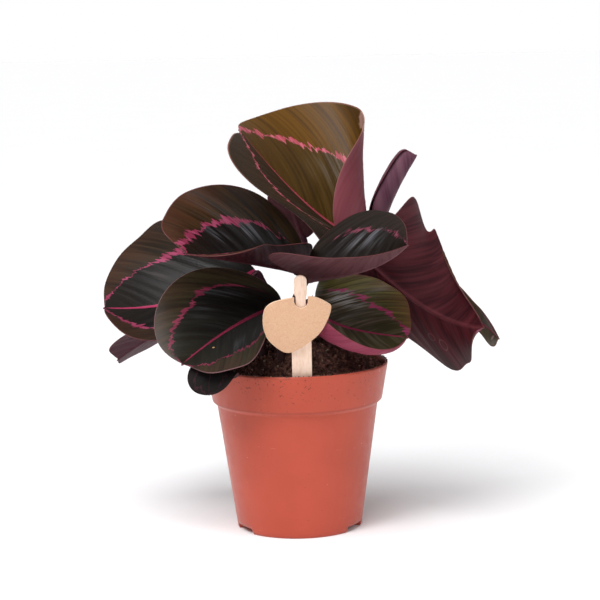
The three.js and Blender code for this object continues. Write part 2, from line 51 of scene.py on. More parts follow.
def makeCamera(c):
    pitch, roll = math.radians(c["pitchDown"]), math.radians(c["roll"])
    ahead = Vector((0, math.cos(pitch), -math.sin(pitch)))
    level, above = Vector((1, 0, 0)), Vector((0, math.sin(pitch), math.cos(pitch)))
    right = math.cos(roll) * level - math.sin(roll) * above
    up = math.sin(roll) * level + math.cos(roll) * above
    data = bpy.data.cameras.new("camera")
    data.sensor_width = c["sensorWidth"]
    data.lens = c["focalPixels"] / c["imagePixels"] * data.sensor_width
    data.clip_end = c["farthest"]
    camera = bpy.data.objects.new("camera", data)
    turn = Matrix((right, up, -ahead)).transposed().to_4x4()
    camera.matrix_world = Matrix.Translation(Vector(c["place"]) * mm) @ turn
    bpy.context.collection.objects.link(camera)
    bpy.context.scene.camera = camera


makeCamera(cameraSet)


# meshes

def gridQuads(rows, columns, wrap=False, start=0):
    # the squares between the points of a grid stored row by row; wrap joins last column to first
    i, j = np.meshgrid(np.arange(rows - 1), np.arange(columns if wrap else columns - 1), indexing="ij")
    a = i * columns + j
    b = i * columns + (j + 1) % columns
    return (start + np.stack([a, b, b + columns, a + columns], -1)).reshape(-1, 4)


def tubeFaces(rows, columns, start=0, flip=False):
    # a tube of rings stored one after the other, with one face over each end
    last = start + (rows - 1) * columns
    faces = gridQuads(rows, columns, True, start).tolist()
    faces.append(list(range(start, start + columns))[::-1])
    faces.append(list(range(last, last + columns)))
    return [face[::-1] for face in faces] if flip else faces


def pillFaces(rows, columns):
    # rings from the top down, then one point over the first ring and one under the last
    ring = np.arange(columns)
    after = np.roll(ring, -1)
    last = (rows - 1) * columns
    top = np.full(columns, rows * columns)
    faces = gridQuads(rows, columns, True)[:, ::-1].tolist()
    faces += np.stack([top, ring, after], -1).tolist()
    return faces + np.stack([top + 1, last + after, last + ring], -1).tolist()


def unit(vectors):
    return vectors / (np.linalg.norm(vectors, axis=-1, keepdims=True) + 1e-12)


def smooth(value, low, high):
    # 0 up to low, 1 from high on, a smooth step between them
    share = np.clip((value - low) / (high - low), 0, 1)
    return share ** 2 * (3 - 2 * share)


def circle(count):
    return np.linspace(0, 2 * np.pi, count, endpoint=False)


def roundAxis(reach, angle, height):
    # points by their distance from the z axis, their angle round it and their height
    parts = (reach * np.cos(angle), reach * np.sin(angle), height)
    return np.stack(np.broadcast_arrays(*parts), -1)


def makePiece(name, points, faces, material, replaced=(), fields=None, smoothed=True):
    # points are in millimetres, fields are named values at the points that the material reads
    mesh = bpy.data.meshes.new(name)
    mesh.from_pydata((np.asarray(points, float) * mm).tolist(), [], faces)
    for key, values in (fields or {}).items():
        data = mesh.attributes.new(key, "FLOAT", "POINT").data
        data.foreach_set("value", np.ravel(values).astype(np.float32))
    mesh.polygons.foreach_set("use_smooth", np.full(len(mesh.polygons), smoothed))
    mesh.materials.append(material)
    mesh.update()
    piece = bpy.data.objects.new(name, mesh)
    bpy.context.collection.objects.link(piece)
    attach(piece, "root")
    if replaced:
        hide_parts(*replaced)
    return piece


# material nodes. A wire is one output of a node; reckoning with it adds Math nodes. Colours are
# given by their screen values, 0 to 255

def mathSign(operation):
    return lambda *values: calc(operation, *values)


class Wire:
    __add__ = mathSign("ADD")
    __sub__ = mathSign("SUBTRACT")
    __mul__ = mathSign("MULTIPLY")
    __truediv__ = mathSign("DIVIDE")
    __abs__ = mathSign("ABSOLUTE")

    def __init__(self, tree, socket):
        self.tree = tree
        self.socket = socket


def feed(socket, value):
    # a wire is linked to a socket, anything else is set on it
    if isinstance(value, Wire):
        value.tree.links.new(value.socket, socket)
    else:
        socket.default_value = value


def addNode(tree, kind, inputs=(), output=0, **settings):
    # a node with its settings made and its inputs fed; gives the wire of one output
    node = tree.nodes.new("ShaderNode" + kind)
    for key, value in settings.items():
        setattr(node, key, value)
    for key, value in dict(inputs).items():
        feed(node.inputs[key], value)
    return Wire(tree, node.outputs[output])


def calc(operation, *values):
    tree = next(value.tree for value in values if isinstance(value, Wire))
    return addNode(tree, "Math", enumerate(values), operation=operation)


def rise(value, low, high, bottom=0.0, top=1.0):
    # goes smoothly from bottom to top while the value goes from low to high
    keys = ("Value", "From Min", "From Max", "To Min", "To Max")
    inputs = zip(keys, (value, low, high, bottom, top))
    return addNode(value.tree, "MapRange", inputs, interpolation_type="SMOOTHSTEP")


def tone(color):
    # screen values as the linear ones that nodes take; a wire stays as it is
    if isinstance(color, Wire):
        return color
    share = np.array(color) / 255
    linear = np.where(share <= 0.04045, share / 12.92, ((share + 0.055) / 1.055) ** 2.4)
    return (*linear.tolist(), 1.0)


def blend(share, a, b):
    return addNode(share.tree, "Mix", {0: share, 6: tone(a), 7: tone(b)}, 2, data_type="RGBA")


def layer(under, color, value, low, high, strength=1.0):
    # a colour laid over what is under it as the value goes from low to high
    return blend(rise(value, low, high, 0.0, strength), under, color)


def joined(x, y, z):
    return addNode(x.tree, "CombineXYZ", enumerate((x, y, z)))


def noise(vector, scale=1.0, detail=2.0, roughness=0.5):
    inputs = {"Vector": vector, "Scale": scale, "Detail": detail, "Roughness": roughness}
    return addNode(vector.tree, "TexNoise", inputs)


def field(tree, name):
    return addNode(tree, "Attribute", output="Fac", attribute_name=name)


def place(tree, scale=(1, 1, 1)):
    # the object's own coordinates, in metres, stretched by a scale
    where = addNode(tree, "TexCoord", output="Object")
    return addNode(tree, "Mapping", {"Vector": where, "Scale": scale})


def bump(height, distance, below=None):
    inputs = {"Height": height, "Distance": distance}
    if below:
        inputs["Normal"] = below
    return addNode(height.tree, "Bump", inputs)


def newMaterial(name):
    material = bpy.data.materials.new(name)
    material.use_nodes = True
    return material, material.node_tree


def dress(material, sockets):
    # feeds the shader's own sockets, by their names
    shader = material.node_tree.nodes["Principled BSDF"]
    for key, value in sockets.items():
        feed(shader.inputs[key], value)
    return material


# leaves: the blade is a surface of two numbers, along the midrib and out to the margins. A half has
# its width, sweep and lobe (shares of the width that its margin runs forward, or back at the base),
# lift and curl in degrees at base, middle and tip, and factors of its width at even steps. Right is
# on the right of the upper side, tip up

def half(width, sweep, lobe, lift, curl, wide=(1, 1, 1), power=1, wave=(0, 1, 0)):
    return {"width": width, "sweep": sweep, "lobe": lobe, "lift": lift, "curl": curl,
            "power": power, "wide": wide, "wave": wave}


leafShapes = {
    "leaf_top": {
        "root": (7, 8), "rib": [(40.6, 24.9, 137.9), (12, 28, 152), (-27, 14, 197)],
        "face": (0.86, -0.51, -0.11), "egg": (0.46, 0.45), "bend": 0.25, "arrive": (0.45, 0.1, 1),
        "left": half(45, 0.96, 0.52, (73, 49, 50), (16, -9, -14), (0.91, 0.95, 1.1, 1.09, 0.67)),
        "right": half(58, 0.18, -0.32, (3, -7, -44), (169, 68, -25), (1.13, 1.04, 1.12, 1.11, 0.77),
                      power=3)},
    "leaf_left_upper": {
        "root": (-6, 3), "rib": [(2.5, 13.5, 124.9), (-24.2, -16.2, 133.7), (-51, -49, 142)],
        "face": (0.27, -0.4, 0.87), "egg": (0.42, 0.57),
        "left": half(33, 0.23, 0.1, (48, 50, 33), (4, 0, -18), (0.52, 1, 0.75, 1.1, 1.02),
                     wave=(0.6, 2, 0.1)),
        "right": half(38, 0.72, 0.56, (73, 36, 28), (34, -17, -42), (0.72, 0.99, 0.98, 0.87, 0.94))},
    "leaf_left_mid": {
        "root": (-12, 9), "rib": [(-19, 22, 124), (-58, 20, 110), (-97, 17, 108)],
        "face": (0.5, -0.34, 0.8), "egg": (0.4, 0.51),
        "left": half(37, 0.28, 0.26, (36, 3, 27), (13, 14, 4), (1, 0.99, 1, 1.1, 0.94)),
        "right": half(49, 0.28, 0, (39, 17, 0), (11, -2, -11), (0.98, 1.02, 0.98, 1.04, 0.96))},
    "leaf_left_front": {
        "root": (-9, -9), "rib": [(-6.5, -10.3, 111.5), (-30, -23, 103.2), (-54.3, -49, 89.3)],
        "face": (0.14, -0.37, 0.92), "egg": (0.51, 0.48),
        "left": half(34, 0.56, 0.18, (19, 11, 25), (-3, 7, -16), (0.89, 1.02, 1.01, 0.9, 0.94)),
        "right": half(34, 0.17, 0.48, (10, 28, 10), (-15, 0, -19), (0.95, 1.03, 1.04, 1.02, 0.95))},
    "leaf_left_low": {
        "root": (-16, -13), "rib": [(-34, -39, 88.2), (-39.6, -49.2, 86.7), (-41, -54, 75.6)],
        "face": (-0.26, -0.93, 0.26), "egg": (0.46, 0.48), "bend": 0.35, "arrive": (-0.6, -0.7, -0.25),
        "left": half(13, 0.05, 0.33, (10, 15, 14), (-20, -14, -14)),
        "right": half(13, 0.12, 0, (10, 11, 10), (-20, -19, -20), (0.5, 0.82, 1.02))},
    "leaf_left_back": {
        "root": (-12, 16), "rib": [(-18, 32, 102), (-57, 43, 96), (-93, 39, 77)],
        "face": (-0.4, 0.53, 0.75), "egg": (0.51, 0.38),
        "left": half(25, 0.49, 0.3, (6, -3, 4), (0, -15, 0)),
        "right": half(23, 0.34, 0.3, (10, 14, 13), (0, 5, 3), wave=(0.8, 2.5, 0))},
    "leaf_center_right": {
        "root": (-7.5, -20.5), "rib": [(6, -23, 126), (34, -40, 132), (53, -54, 145)],
        "face": (-0.23, -0.36, 0.9), "egg": (0.32, 0.63), "arrive": (0.6, 0.1, 1),
        "left": half(31, 0.3, 0.46, (49, 50, 33), (-26, -58, -30), (0.86, 1.18, 1.14, 1.02, 0.97)),
        "right": half(39, 0.06, 0.46, (55, 39, 36), (-4, 8, -18), (0.99, 1.07, 0.88, 1.05, 1))},
    "leaf_right_front": {
        "root": (16, -9), "rib": [(9.5, 3, 112.6), (19.4, -10, 101.8), (55, -27, 97)],
        "face": (-0.3, -0.32, 0.9), "egg": (0.47, 0.47),
        "left": half(30, 0.33, 0.8, (45, 23, 2), (28, -18, -14), (1.07, 0.98, 1.09, 1.15, 0.73)),
        "right": half(37, 0.13, -0.31, (50, 17, -20), (89, 101, 84), (0.42, 0.92, 1.12, 1.15, 1.12),
                      power=2)},
    "leaf_right_big": {
        "root": (21, 6), "rib": [(31, -2, 137), (65, 5, 106.3), (92, -14, 99)],
        "face": (0.59, 0.79, -0.18), "egg": (0.48, 0.53),
        "left": half(37, 0.63, 0.03, (-32, 27, -49), (-12, 24, -73), (1.02, 0.87, 0.93, 0.58, 1.01)),
        "right": half(40, -0.59, 0.16, (-5, 7, -10), (-19, 0, -25), (0.67, 1.12, 0.83, 1.17, 1.07),
                      wave=(1, 2, 0.3))},
    "leaf_rolled": {
        "root": (15, 24), "rib": [(44.4, 39.6, 144.5), (52.3, 38.6, 162.4), (63, 38.6, 180.4)],
        "face": (-0.7, -0.6, 0.4), "egg": (0.3, 0.14), "arrive": (0.35, 0.2, 1),
        "left": half(16, 0, 0, (15, 15, 15), (110, 150, 150)),
        "right": half(16, 0, 0, (15, 15, 15), (170, 175, 190))},
    "leaf_right_back": {
        "root": (7, 27), "rib": [(36, 51, 106), (80.8, 40, 99.8), (99.5, -8, 92)],
        "face": (-0.79, -0.3, 0.54), "egg": (0.51, 0.29),
        "left": half(19, -0.03, 0.09, (17, 33, 49), (-2, 13, 36), (1, 0.99, 0.86, 0.59, 0.82)),
        "right": half(10, 0.37, 0.1, (19, 21, -3), (-1, 1, -27), (1, 1, 0.82, 0.47, 0.99))},
    "leaf_back_left": {
        "root": (-1, 20), "rib": [(5, 40, 138.1), (-1.4, 54, 153.7), (-6.5, 66, 171.3)],
        "face": (0, 0.95, 0.3), "egg": (0.38, 0.5),
        "left": half(14, 0.1, 0.35, (-8, -8, -8), (-6, -6, -6), (1.2, 1.1, 1.05)),
        "right": half(13, 0.1, 0.2, (8, 8, 8), (0, 3, -1))}}

bladeSet = {
    "rows": 170, "halfColumns": 42, "crowding": 0.72, "start": 0.0015, "end": 0.992,
    "tipPoint": 0.02, "tipWidth": 0.07, "tipEnd": 0.994, "sweepFade": 30, "thickness": 0.46,
    "veinSlope": 0.9, "veinBend": 0.35, "pleatSpacing": 8.0, "pleatHeight": 0.22,
    "pleatWidth": 30, "overtone": 0.14, "overtoneRate": 3.1, "leftShift": 1.7, "drift": 0.6,
    "driftLength": 11, "ribDepth": 1.0, "ribWidth": 1.1, "ribRoot": 1.1, "ribLeast": 0.15,
    "grooveDepth": 0.3, "stalkEdge": 20, "sums": 201}

stalkSet = {
    "soilTop": 80, "rootEnd": 64, "steps": 64, "sides": 24, "radius": 2.1, "topRadius": 1.4,
    "knuckleRadius": 1.75, "knuckleLength": 0.13, "knuckleStep": 0.04, "rise": 0.45, "bend": 0.3,
    "ribFrom": 0.012, "ribTo": 0.05, "ribSink": (1.0, 0.95, 0.85, 0.7, 0.5),
    "ribTaper": (0.98, 0.92, 0.82, 0.6, 0.15), "furrowDepth": 0.3, "furrowWidth": 0.45}

mound = {"height": 12, "middle": (2, 4), "flat": 16, "reach": 38}


def moundHeight(x, y):
    # the soil's low mound round the stalks: level in its middle, then falling in a smooth step
    away = np.hypot(x - mound["middle"][0], y - mound["middle"][1])
    return mound["height"] * smooth(away, mound["reach"], mound["flat"])


def through(values, t):
    # the curve of second degree through three values, at t = 0, a half and 1
    first, second, third = values
    return first * (1 - t) * (1 - 2 * t) + second * 4 * t * (1 - t) + third * t * (2 * t - 1)


def between(before, first, second, after, w):
    # a curve of third degree from first to second, its slope at each one half the difference of
    # that one's two neighbours
    start, end = (second - before) / 2, (after - first) / 2
    return (first + start * w + (3 * (second - first) - 2 * start - end) * w ** 2
            + (2 * (first - second) + start + end) * w ** 3)


def stepped(values, t):
    # the smooth curve through values at even steps
    values = np.array(values, float)
    spot = t * (len(values) - 1)
    low = np.minimum(spot.astype(int), len(values) - 2)
    near = (values[np.clip(low + k, 0, len(values) - 1)] for k in (-1, 0, 1, 2))
    return between(*near, spot - low)


def crowded(count, crowding):
    # even steps from 0 to 1, drawn together at both ends by a sine
    u = np.linspace(0, 1, count)
    return u - crowding * np.sin(2 * np.pi * u) / (2 * np.pi)


def widthShare(t, egg):
    # an egg, t to one power times 1 - t to another, with a short point added at its tip
    point = bladeSet["tipPoint"]
    s = np.clip(t / (1 - point), 0, 1)
    widest = egg[0] / (egg[0] + egg[1])
    body = s ** egg[0] * (1 - s) ** egg[1] / (widest ** egg[0] * (1 - widest) ** egg[1])
    narrowing = np.clip((bladeSet["tipEnd"] - t) / (2 * point), 0, 1)
    spike = bladeSet["tipWidth"] * narrowing * np.clip(8 * t, 0, 1)
    return (body ** 6 + spike ** 6) ** (1 / 6)


def midrib(leaf, t):
    # a curve of second degree through base, middle and tip, with its direction, its up and its right
    base, middle, tip = (np.array(p, float) for p in leaf["rib"])
    control = 2 * middle - (base + tip) / 2
    point = (1 - t) ** 2 * base + 2 * t * (1 - t) * control + t ** 2 * tip
    along = unit((1 - t) * (control - base) + t * (tip - control))
    face = np.array(leaf["face"], float)
    up = unit(face - (along @ face)[..., None] * along)
    return point, along, up, np.cross(along, up)


def bladeHalf(leaf, side, sign, t, x):
    # the turn at share q of the half width is lift + curl q^power; its cosine and sine, summed from
    # the midrib out, give the way across and up, and sweep and lobe shift the points lengthways. A
    # side vein keeps one value of: way along, less its slope times the way out, more so further out
    b = bladeSet
    point, along, up, right = midrib(leaf, t)
    width = side["width"] * widthShare(t, leaf["egg"]) * stepped(side["wide"], t)
    lift, curl = np.radians(through(side["lift"], t)), np.radians(through(side["curl"], t))
    q = np.linspace(0, 1, b["sums"])
    turn = lift + curl * q ** side["power"]
    middle = (turn[:, 1:] + turn[:, :-1]) / 2
    spot = x * (len(q) - 1)
    low = np.minimum(spot.astype(int), len(q) - 2)
    part = spot - low
    sums = []
    for wave in (np.cos(middle), np.sin(middle)):
        total = np.concatenate([np.zeros((len(t), 1)), np.cumsum(wave, 1) / (len(q) - 1)], 1)
        sums.append(total[:, low] * (1 - part) + total[:, low + 1] * part)
    edgeTurn = lift + curl * x ** side["power"]
    height, count, start = side["wave"]
    ripple = height * np.sqrt(np.sin(np.pi * t)) * x ** 2 * np.sin(2 * np.pi * (count * t + start))
    across = sign * (width * sums[0] - ripple * np.sin(edgeTurn))
    above = width * sums[1] + ripple * np.cos(edgeTurn)
    sweep = side["sweep"] * (1 - t ** b["sweepFade"])
    forward = width * (sweep * x ** 1.5 - side["lobe"] * x ** 2 * (1 - t) ** 3)
    surface = (point[:, None] + across[..., None] * right[:, None]
               + above[..., None] * up[:, None] + forward[..., None] * along[:, None])
    wayOut = width * x
    length = np.linalg.norm(np.diff(np.array(leaf["rib"], float), axis=0), axis=1).sum()
    vein = length * t + forward - b["veinSlope"] * wayOut * (1 + b["veinBend"] * x)
    return surface, wayOut, width - wayOut, vein


def bladeSurface(leaf, phase):
    # both halves on one grid, folded softly along the side veins: a wave of the veins' value, and
    # one a third as long, that fade at midrib, margin, base and tip
    b = bladeSet
    t = (b["start"] + (b["end"] - b["start"]) * crowded(b["rows"], b["crowding"]))[:, None]
    x = crowded(b["halfColumns"], b["crowding"])
    halves = [bladeHalf(leaf, leaf["left"], -1, t, x), bladeHalf(leaf, leaf["right"], 1, t, x)]
    surface, fromRib, fromEdge, vein = (np.concatenate([a[:, :0:-1], z], 1) for a, z in zip(*halves))
    v = np.concatenate([-x[:0:-1], x])
    normal = unit(np.cross(np.gradient(surface, axis=1), np.gradient(surface, axis=0)))
    beat = 2 * np.pi * vein / b["pleatSpacing"] + phase + b["leftShift"] * (v < 0)
    beat = beat + b["drift"] * np.sin(vein / b["driftLength"] + phase)
    fade = np.sin(np.pi * np.abs(v) ** 0.8) * np.clip(6 * (1 - t), 0, 1) * np.clip(8 * t, 0, 1)
    wave = 0.5 * np.sin(beat) + b["overtone"] * np.sin(b["overtoneRate"] * beat + 2 * phase)
    relief = b["pleatHeight"] * np.clip((fromRib + fromEdge) / b["pleatWidth"], 0.2, 1.2) * fade * wave
    return t, v, surface + relief[..., None] * normal, normal, fromRib, fromEdge, vein


def stalkTube(leaf):
    # a tube along a curve of third degree, upright where it leaves the soil's mound and bent over
    # to the blade's base, with a swollen end under the blade and a furrow near the soil
    s = stalkSet
    start = np.array([*leaf["root"], s["soilTop"] + moundHeight(*leaf["root"])], float)
    end = np.array(leaf["rib"][0], float)
    length = np.linalg.norm(end - start)
    along = midrib(leaf, np.array([[0.0]]))[1]
    arrive = unit(np.array(leaf.get("arrive", 0.5 * along[0] + (0, 0, 0.85)), float))
    bend = leaf.get("bend", s["bend"])
    u = np.linspace(0, 1, s["steps"])[:, None]
    corners = [start, start + (0, 0, s["rise"] * length), end - bend * length * arrive, end]
    weights = [(1 - u) ** 3, 3 * u * (1 - u) ** 2, 3 * u ** 2 * (1 - u), u ** 3]
    curve = sum(w * c for w, c in zip(weights, corners))
    onRib = len(s["ribSink"])
    under, _, underUp, _ = midrib(leaf, np.linspace(s["ribFrom"], s["ribTo"], onRib)[:, None])
    ribPath = under - underUp * np.array(s["ribSink"])[:, None]
    root = np.array([[*leaf["root"], s["rootEnd"]], [*leaf["root"], (s["rootEnd"] + start[2]) / 2]])
    path = np.concatenate([root, curve, ribPath])
    share = np.concatenate([[0, 0], u[:, 0], np.ones(onRib)])
    radius = s["radius"] + (s["topRadius"] - s["radius"]) * share
    knuckle = 1 - s["knuckleLength"]
    radius = radius + (s["knuckleRadius"] - radius) * smooth(share, knuckle, knuckle + s["knuckleStep"])
    radius[-onRib:] *= s["ribTaper"]
    for _ in range(3):  # rounds the turn where the stalk meets the midrib
        path[-9:-1] = (path[-10:-2] + 2 * path[-9:-1] + path[-8:]) / 4
    direction = unit(np.gradient(path, axis=0))
    sideways = np.cross((0, 0, 1), end - start)
    side = unit(sideways - (direction @ sideways)[:, None] * direction)
    other = np.cross(direction, side)
    angle = circle(s["sides"])
    furrow = s["furrowDepth"] * np.exp(-((angle - np.pi / 2) / s["furrowWidth"]) ** 2)
    furrow = furrow * np.clip(1 - share / 0.5, 0, 1)[:, None]
    reach = radius[:, None] * (1 - furrow)
    ring = np.cos(angle)[:, None] * side[:, None] + np.sin(angle)[:, None] * other[:, None]
    return path[:, None] + reach[..., None] * ring, share


def makeLeaf(name, leaf, material, phase):
    # upper and lower side, a wedge-shaped margin, a groove above and a rib below the midrib
    b = bladeSet
    t, v, surface, normal, fromRib, fromEdge, vein = bladeSurface(leaf, phase)
    rows, columns = surface.shape[:2]
    thick = b["thickness"] / 2 * (np.abs(v) < 1) * np.ones_like(t)
    ridge = np.exp(-(fromRib / b["ribWidth"]) ** 2)
    groove = b["grooveDepth"] * (1 - t) * ridge * np.clip(20 * t, 0, 1)
    depth = (b["ribLeast"] + b["ribDepth"] * (1 - t) + b["ribRoot"] * (1 - t) ** 12) * ridge
    upper = surface + (thick - groove)[..., None] * normal
    lower = surface - (thick + depth)[..., None] * normal
    ring = np.concatenate([upper, lower[:, -2:0:-1]], 1)
    around = ring.shape[1]

    def both(values):
        values = np.broadcast_to(values, (rows, columns))
        return np.concatenate([values, values[:, -2:0:-1]], 1).ravel()

    upperSide = np.concatenate([(np.abs(v) < 1) * np.ones((rows, 1)), np.zeros((rows, columns - 2))], 1)
    upperSide[:, [0, columns - 1]] = 0.5
    tube, share = stalkTube(leaf)
    steps, sides = tube.shape[:2]
    faces = tubeFaces(rows, around) + tubeFaces(steps, sides, rows * around)
    points = np.concatenate([ring.reshape(-1, 3), tube.reshape(-1, 3)])
    blank = np.zeros(steps * sides)
    fields = {
        "alongLeaf": (both(t), blank), "acrossLeaf": (both(v), blank), "alongVein": (both(vein), blank),
        "fromRib": (both(fromRib), blank), "fromEdge": (both(fromEdge), blank + b["stalkEdge"]),
        "upperSide": (upperSide.ravel(), blank),
        "onStalk": (np.zeros(rows * around), np.repeat(share + 1, sides))}
    fields = {key: np.concatenate(parts) for key, parts in fields.items()}
    makePiece(name + "_blade", points, faces, material, (name,), fields)


# leaf colours, by their screen values: heart is inside the band and outer beyond it, each with its
# streaks, and under has its streaks and its pale tone. Shares are of full strength, widths are in
# millimetres, bandPlace is a share of the half width. A mark is (its middle in millimetres, its
# radius, the width of its line or 0 for a full disc, its colour, its strength)

# the silver streaks are partly the leaf's own silvery sheen and partly painted highlight; the dark tone
# laid over the left half of a leaf is painted shade
darkLeaf = {
    "heart": ((19, 18, 16), (30, 28, 26)), "silverAndHighlight": (126, 126, 134), "silverAndHighlightShare": 0.55,
    "silverAndHighlightPlace": 0.42, "outer": ((33, 25, 17), (52, 38, 23)), "stripe": (20, 15, 12),
    "rust": (76, 41, 28), "rustShare": 0.5, "band": ((134, 44, 76), (156, 66, 102)), "bandPlace": 0.6,
    "bandWidth": 1.7, "bandLeft": 1.0, "rib": (138, 38, 72), "ribWidth": 1.3, "edge": (104, 52, 54),
    "edgeShare": 0.6, "edgeWidth": 0.5, "leftShadeTone": (36, 28, 22), "leftShadeShare": 0.0, "footShare": 0.0,
    "under": ((58, 22, 29), (46, 17, 23), (82, 42, 50)), "paleShare": 0.2, "stalk": (64, 30, 44),
    "stalkFoot": (52, 32, 32), "gloss": 0.36, "underGloss": 0.58, "stalkGloss": 0.45, "shine": (0.11, 0.2),
    "marks": []}

leafTones = {
    "leaf_top": {
        "heart": ((63, 44, 14), (76, 55, 19)), "silverAndHighlight": (120, 112, 104), "silverAndHighlightShare": 0.3,
        "outer": ((80, 52, 9), (92, 61, 14)), "stripe": (36, 21, 8), "rust": (72, 44, 24),
        "rustShare": 0.0, "band": ((160, 66, 78), (192, 102, 118)), "bandPlace": 0.58, "bandWidth": 2.7,
        "bandLeft": 0.3, "rib": (156, 60, 76), "ribWidth": 1.5, "edge": (140, 96, 84), "edgeShare": 0.7,
        "edgeWidth": 0.9, "leftShadeTone": (30, 22, 18), "leftShadeShare": 0.8, "footShare": 0.45,
        "under": ((110, 54, 62), (100, 44, 52), (118, 70, 78)), "paleShare": 0.5, "gloss": 0.46,
        "marks": [((36.6, 48.9, 198.7), 5.5, 0, (168, 130, 118), 0.75),
                  ((35.8, 41, 194.6), 3.5, 0, (168, 130, 118), 0.6)]},
    "leaf_left_upper": {
        "heart": ((18, 15, 14), (28, 24, 22)), "outer": ((33, 23, 13), (54, 38, 19)),
        "rust": (74, 41, 25), "rustShare": 0.65, "band": ((122, 42, 66), (146, 62, 90)),
        "bandPlace": 0.57},
    "leaf_left_mid": {
        "heart": ((11, 8, 6), (20, 16, 13)), "silverAndHighlight": (96, 84, 86), "silverAndHighlightShare": 0.34,
        "outer": ((26, 18, 11), (46, 33, 19)), "rust": (66, 36, 22), "bandPlace": 0.61,
        "bandWidth": 1.6, "band": ((126, 40, 68), (148, 60, 92)), "rib": (156, 44, 82), "ribWidth": 2.1,
        "gloss": 0.42},
    "leaf_left_front": {
        "heart": ((19, 18, 16), (27, 26, 22)), "silverAndHighlightShare": 0.15,
        "outer": ((32, 29, 19), (48, 42, 26)), "rust": (62, 39, 29),
        "band": ((96, 30, 50), (116, 44, 64)), "bandPlace": 0.63, "bandWidth": 1.0,
        "rib": (120, 34, 60), "edge": (134, 92, 98), "edgeShare": 0.5, "edgeWidth": 0.4,
        "marks": [((-39.1, -38.9, 95.9), 0.7, 0, (176, 136, 96), 0.9)]},
    "leaf_left_low": {
        "outer": ((11, 4, 4), (18, 8, 8)), "rust": (22, 8, 9), "heart": ((9, 4, 4), (15, 8, 8)),
        "band": ((42, 16, 25), (46, 18, 27)), "bandWidth": 0.6, "silverAndHighlightShare": 0.0, "rib": (50, 17, 27),
        "ribWidth": 0.4, "edge": (42, 21, 24), "gloss": 0.75},
    "leaf_left_back": {"under": ((74, 41, 50), (63, 32, 42), (90, 57, 67))},
    "leaf_center_right": {
        "heart": ((15, 9, 6), (26, 18, 14)), "outer": ((21, 13, 8), (32, 24, 18)), "rust": (40, 26, 20),
        "rustShare": 0.4, "band": ((84, 32, 48), (118, 56, 74)), "bandPlace": 0.62, "bandWidth": 0.8,
        "silverAndHighlightShare": 0.5, "under": ((84, 50, 54), (73, 42, 46), (108, 76, 80))},
    "leaf_right_front": {
        "heart": ((60, 52, 38), (108, 94, 80)), "silverAndHighlight": (170, 168, 168), "silverAndHighlightShare": 0.85,
        "silverAndHighlightPlace": 0.38, "outer": ((54, 52, 26), (92, 84, 42)), "rust": (106, 68, 44),
        "bandPlace": 0.58, "bandWidth": 1.6, "under": ((132, 56, 76), (116, 45, 63), (152, 80, 96))},
    "leaf_right_big": {
        "under": ((66, 22, 28), (46, 14, 19), (104, 48, 54)), "paleShare": 0.3,
        "marks": [((73.5, 9.1, 87.2), 3.0, 0.45, (122, 74, 82), 0.5),
                  ((68.0, 13.4, 90.6), 2.2, 0.4, (122, 74, 82), 0.35)]},
    "leaf_rolled": {"under": ((92, 56, 70), (76, 44, 58), (124, 88, 100)), "paleShare": 0.4},
    "leaf_right_back": {
        "heart": ((72, 62, 44), (100, 86, 64)), "outer": ((72, 62, 44), (100, 86, 64)),
        "rust": (104, 84, 62), "bandWidth": -2.0, "silverAndHighlightShare": 0.0,
        "marks": [((97.4, 1.6, 91.4), 1.6, 0, (176, 138, 140), 0.7)]},
    "leaf_back_left": {"under": ((54, 16, 24), (42, 12, 19), (82, 42, 50))}}


def markShare(tree, middle, radius, line, strength):
    # full strength inside a wobbly disc, or only near its outline
    where = place(tree)
    inputs = {0: where, 1: [mm * value for value in middle]}
    gap = addNode(tree, "VectorMath", inputs, "Value", operation="DISTANCE")
    away = gap / mm + noise(where, 260, 3.0) * (0.8 * radius)
    if line:
        return rise(abs(away - 1.4 * radius), line, 0.3 * line, 0.0, strength)
    return rise(away, 1.5 * radius, 1.2 * radius, 0.0, strength)


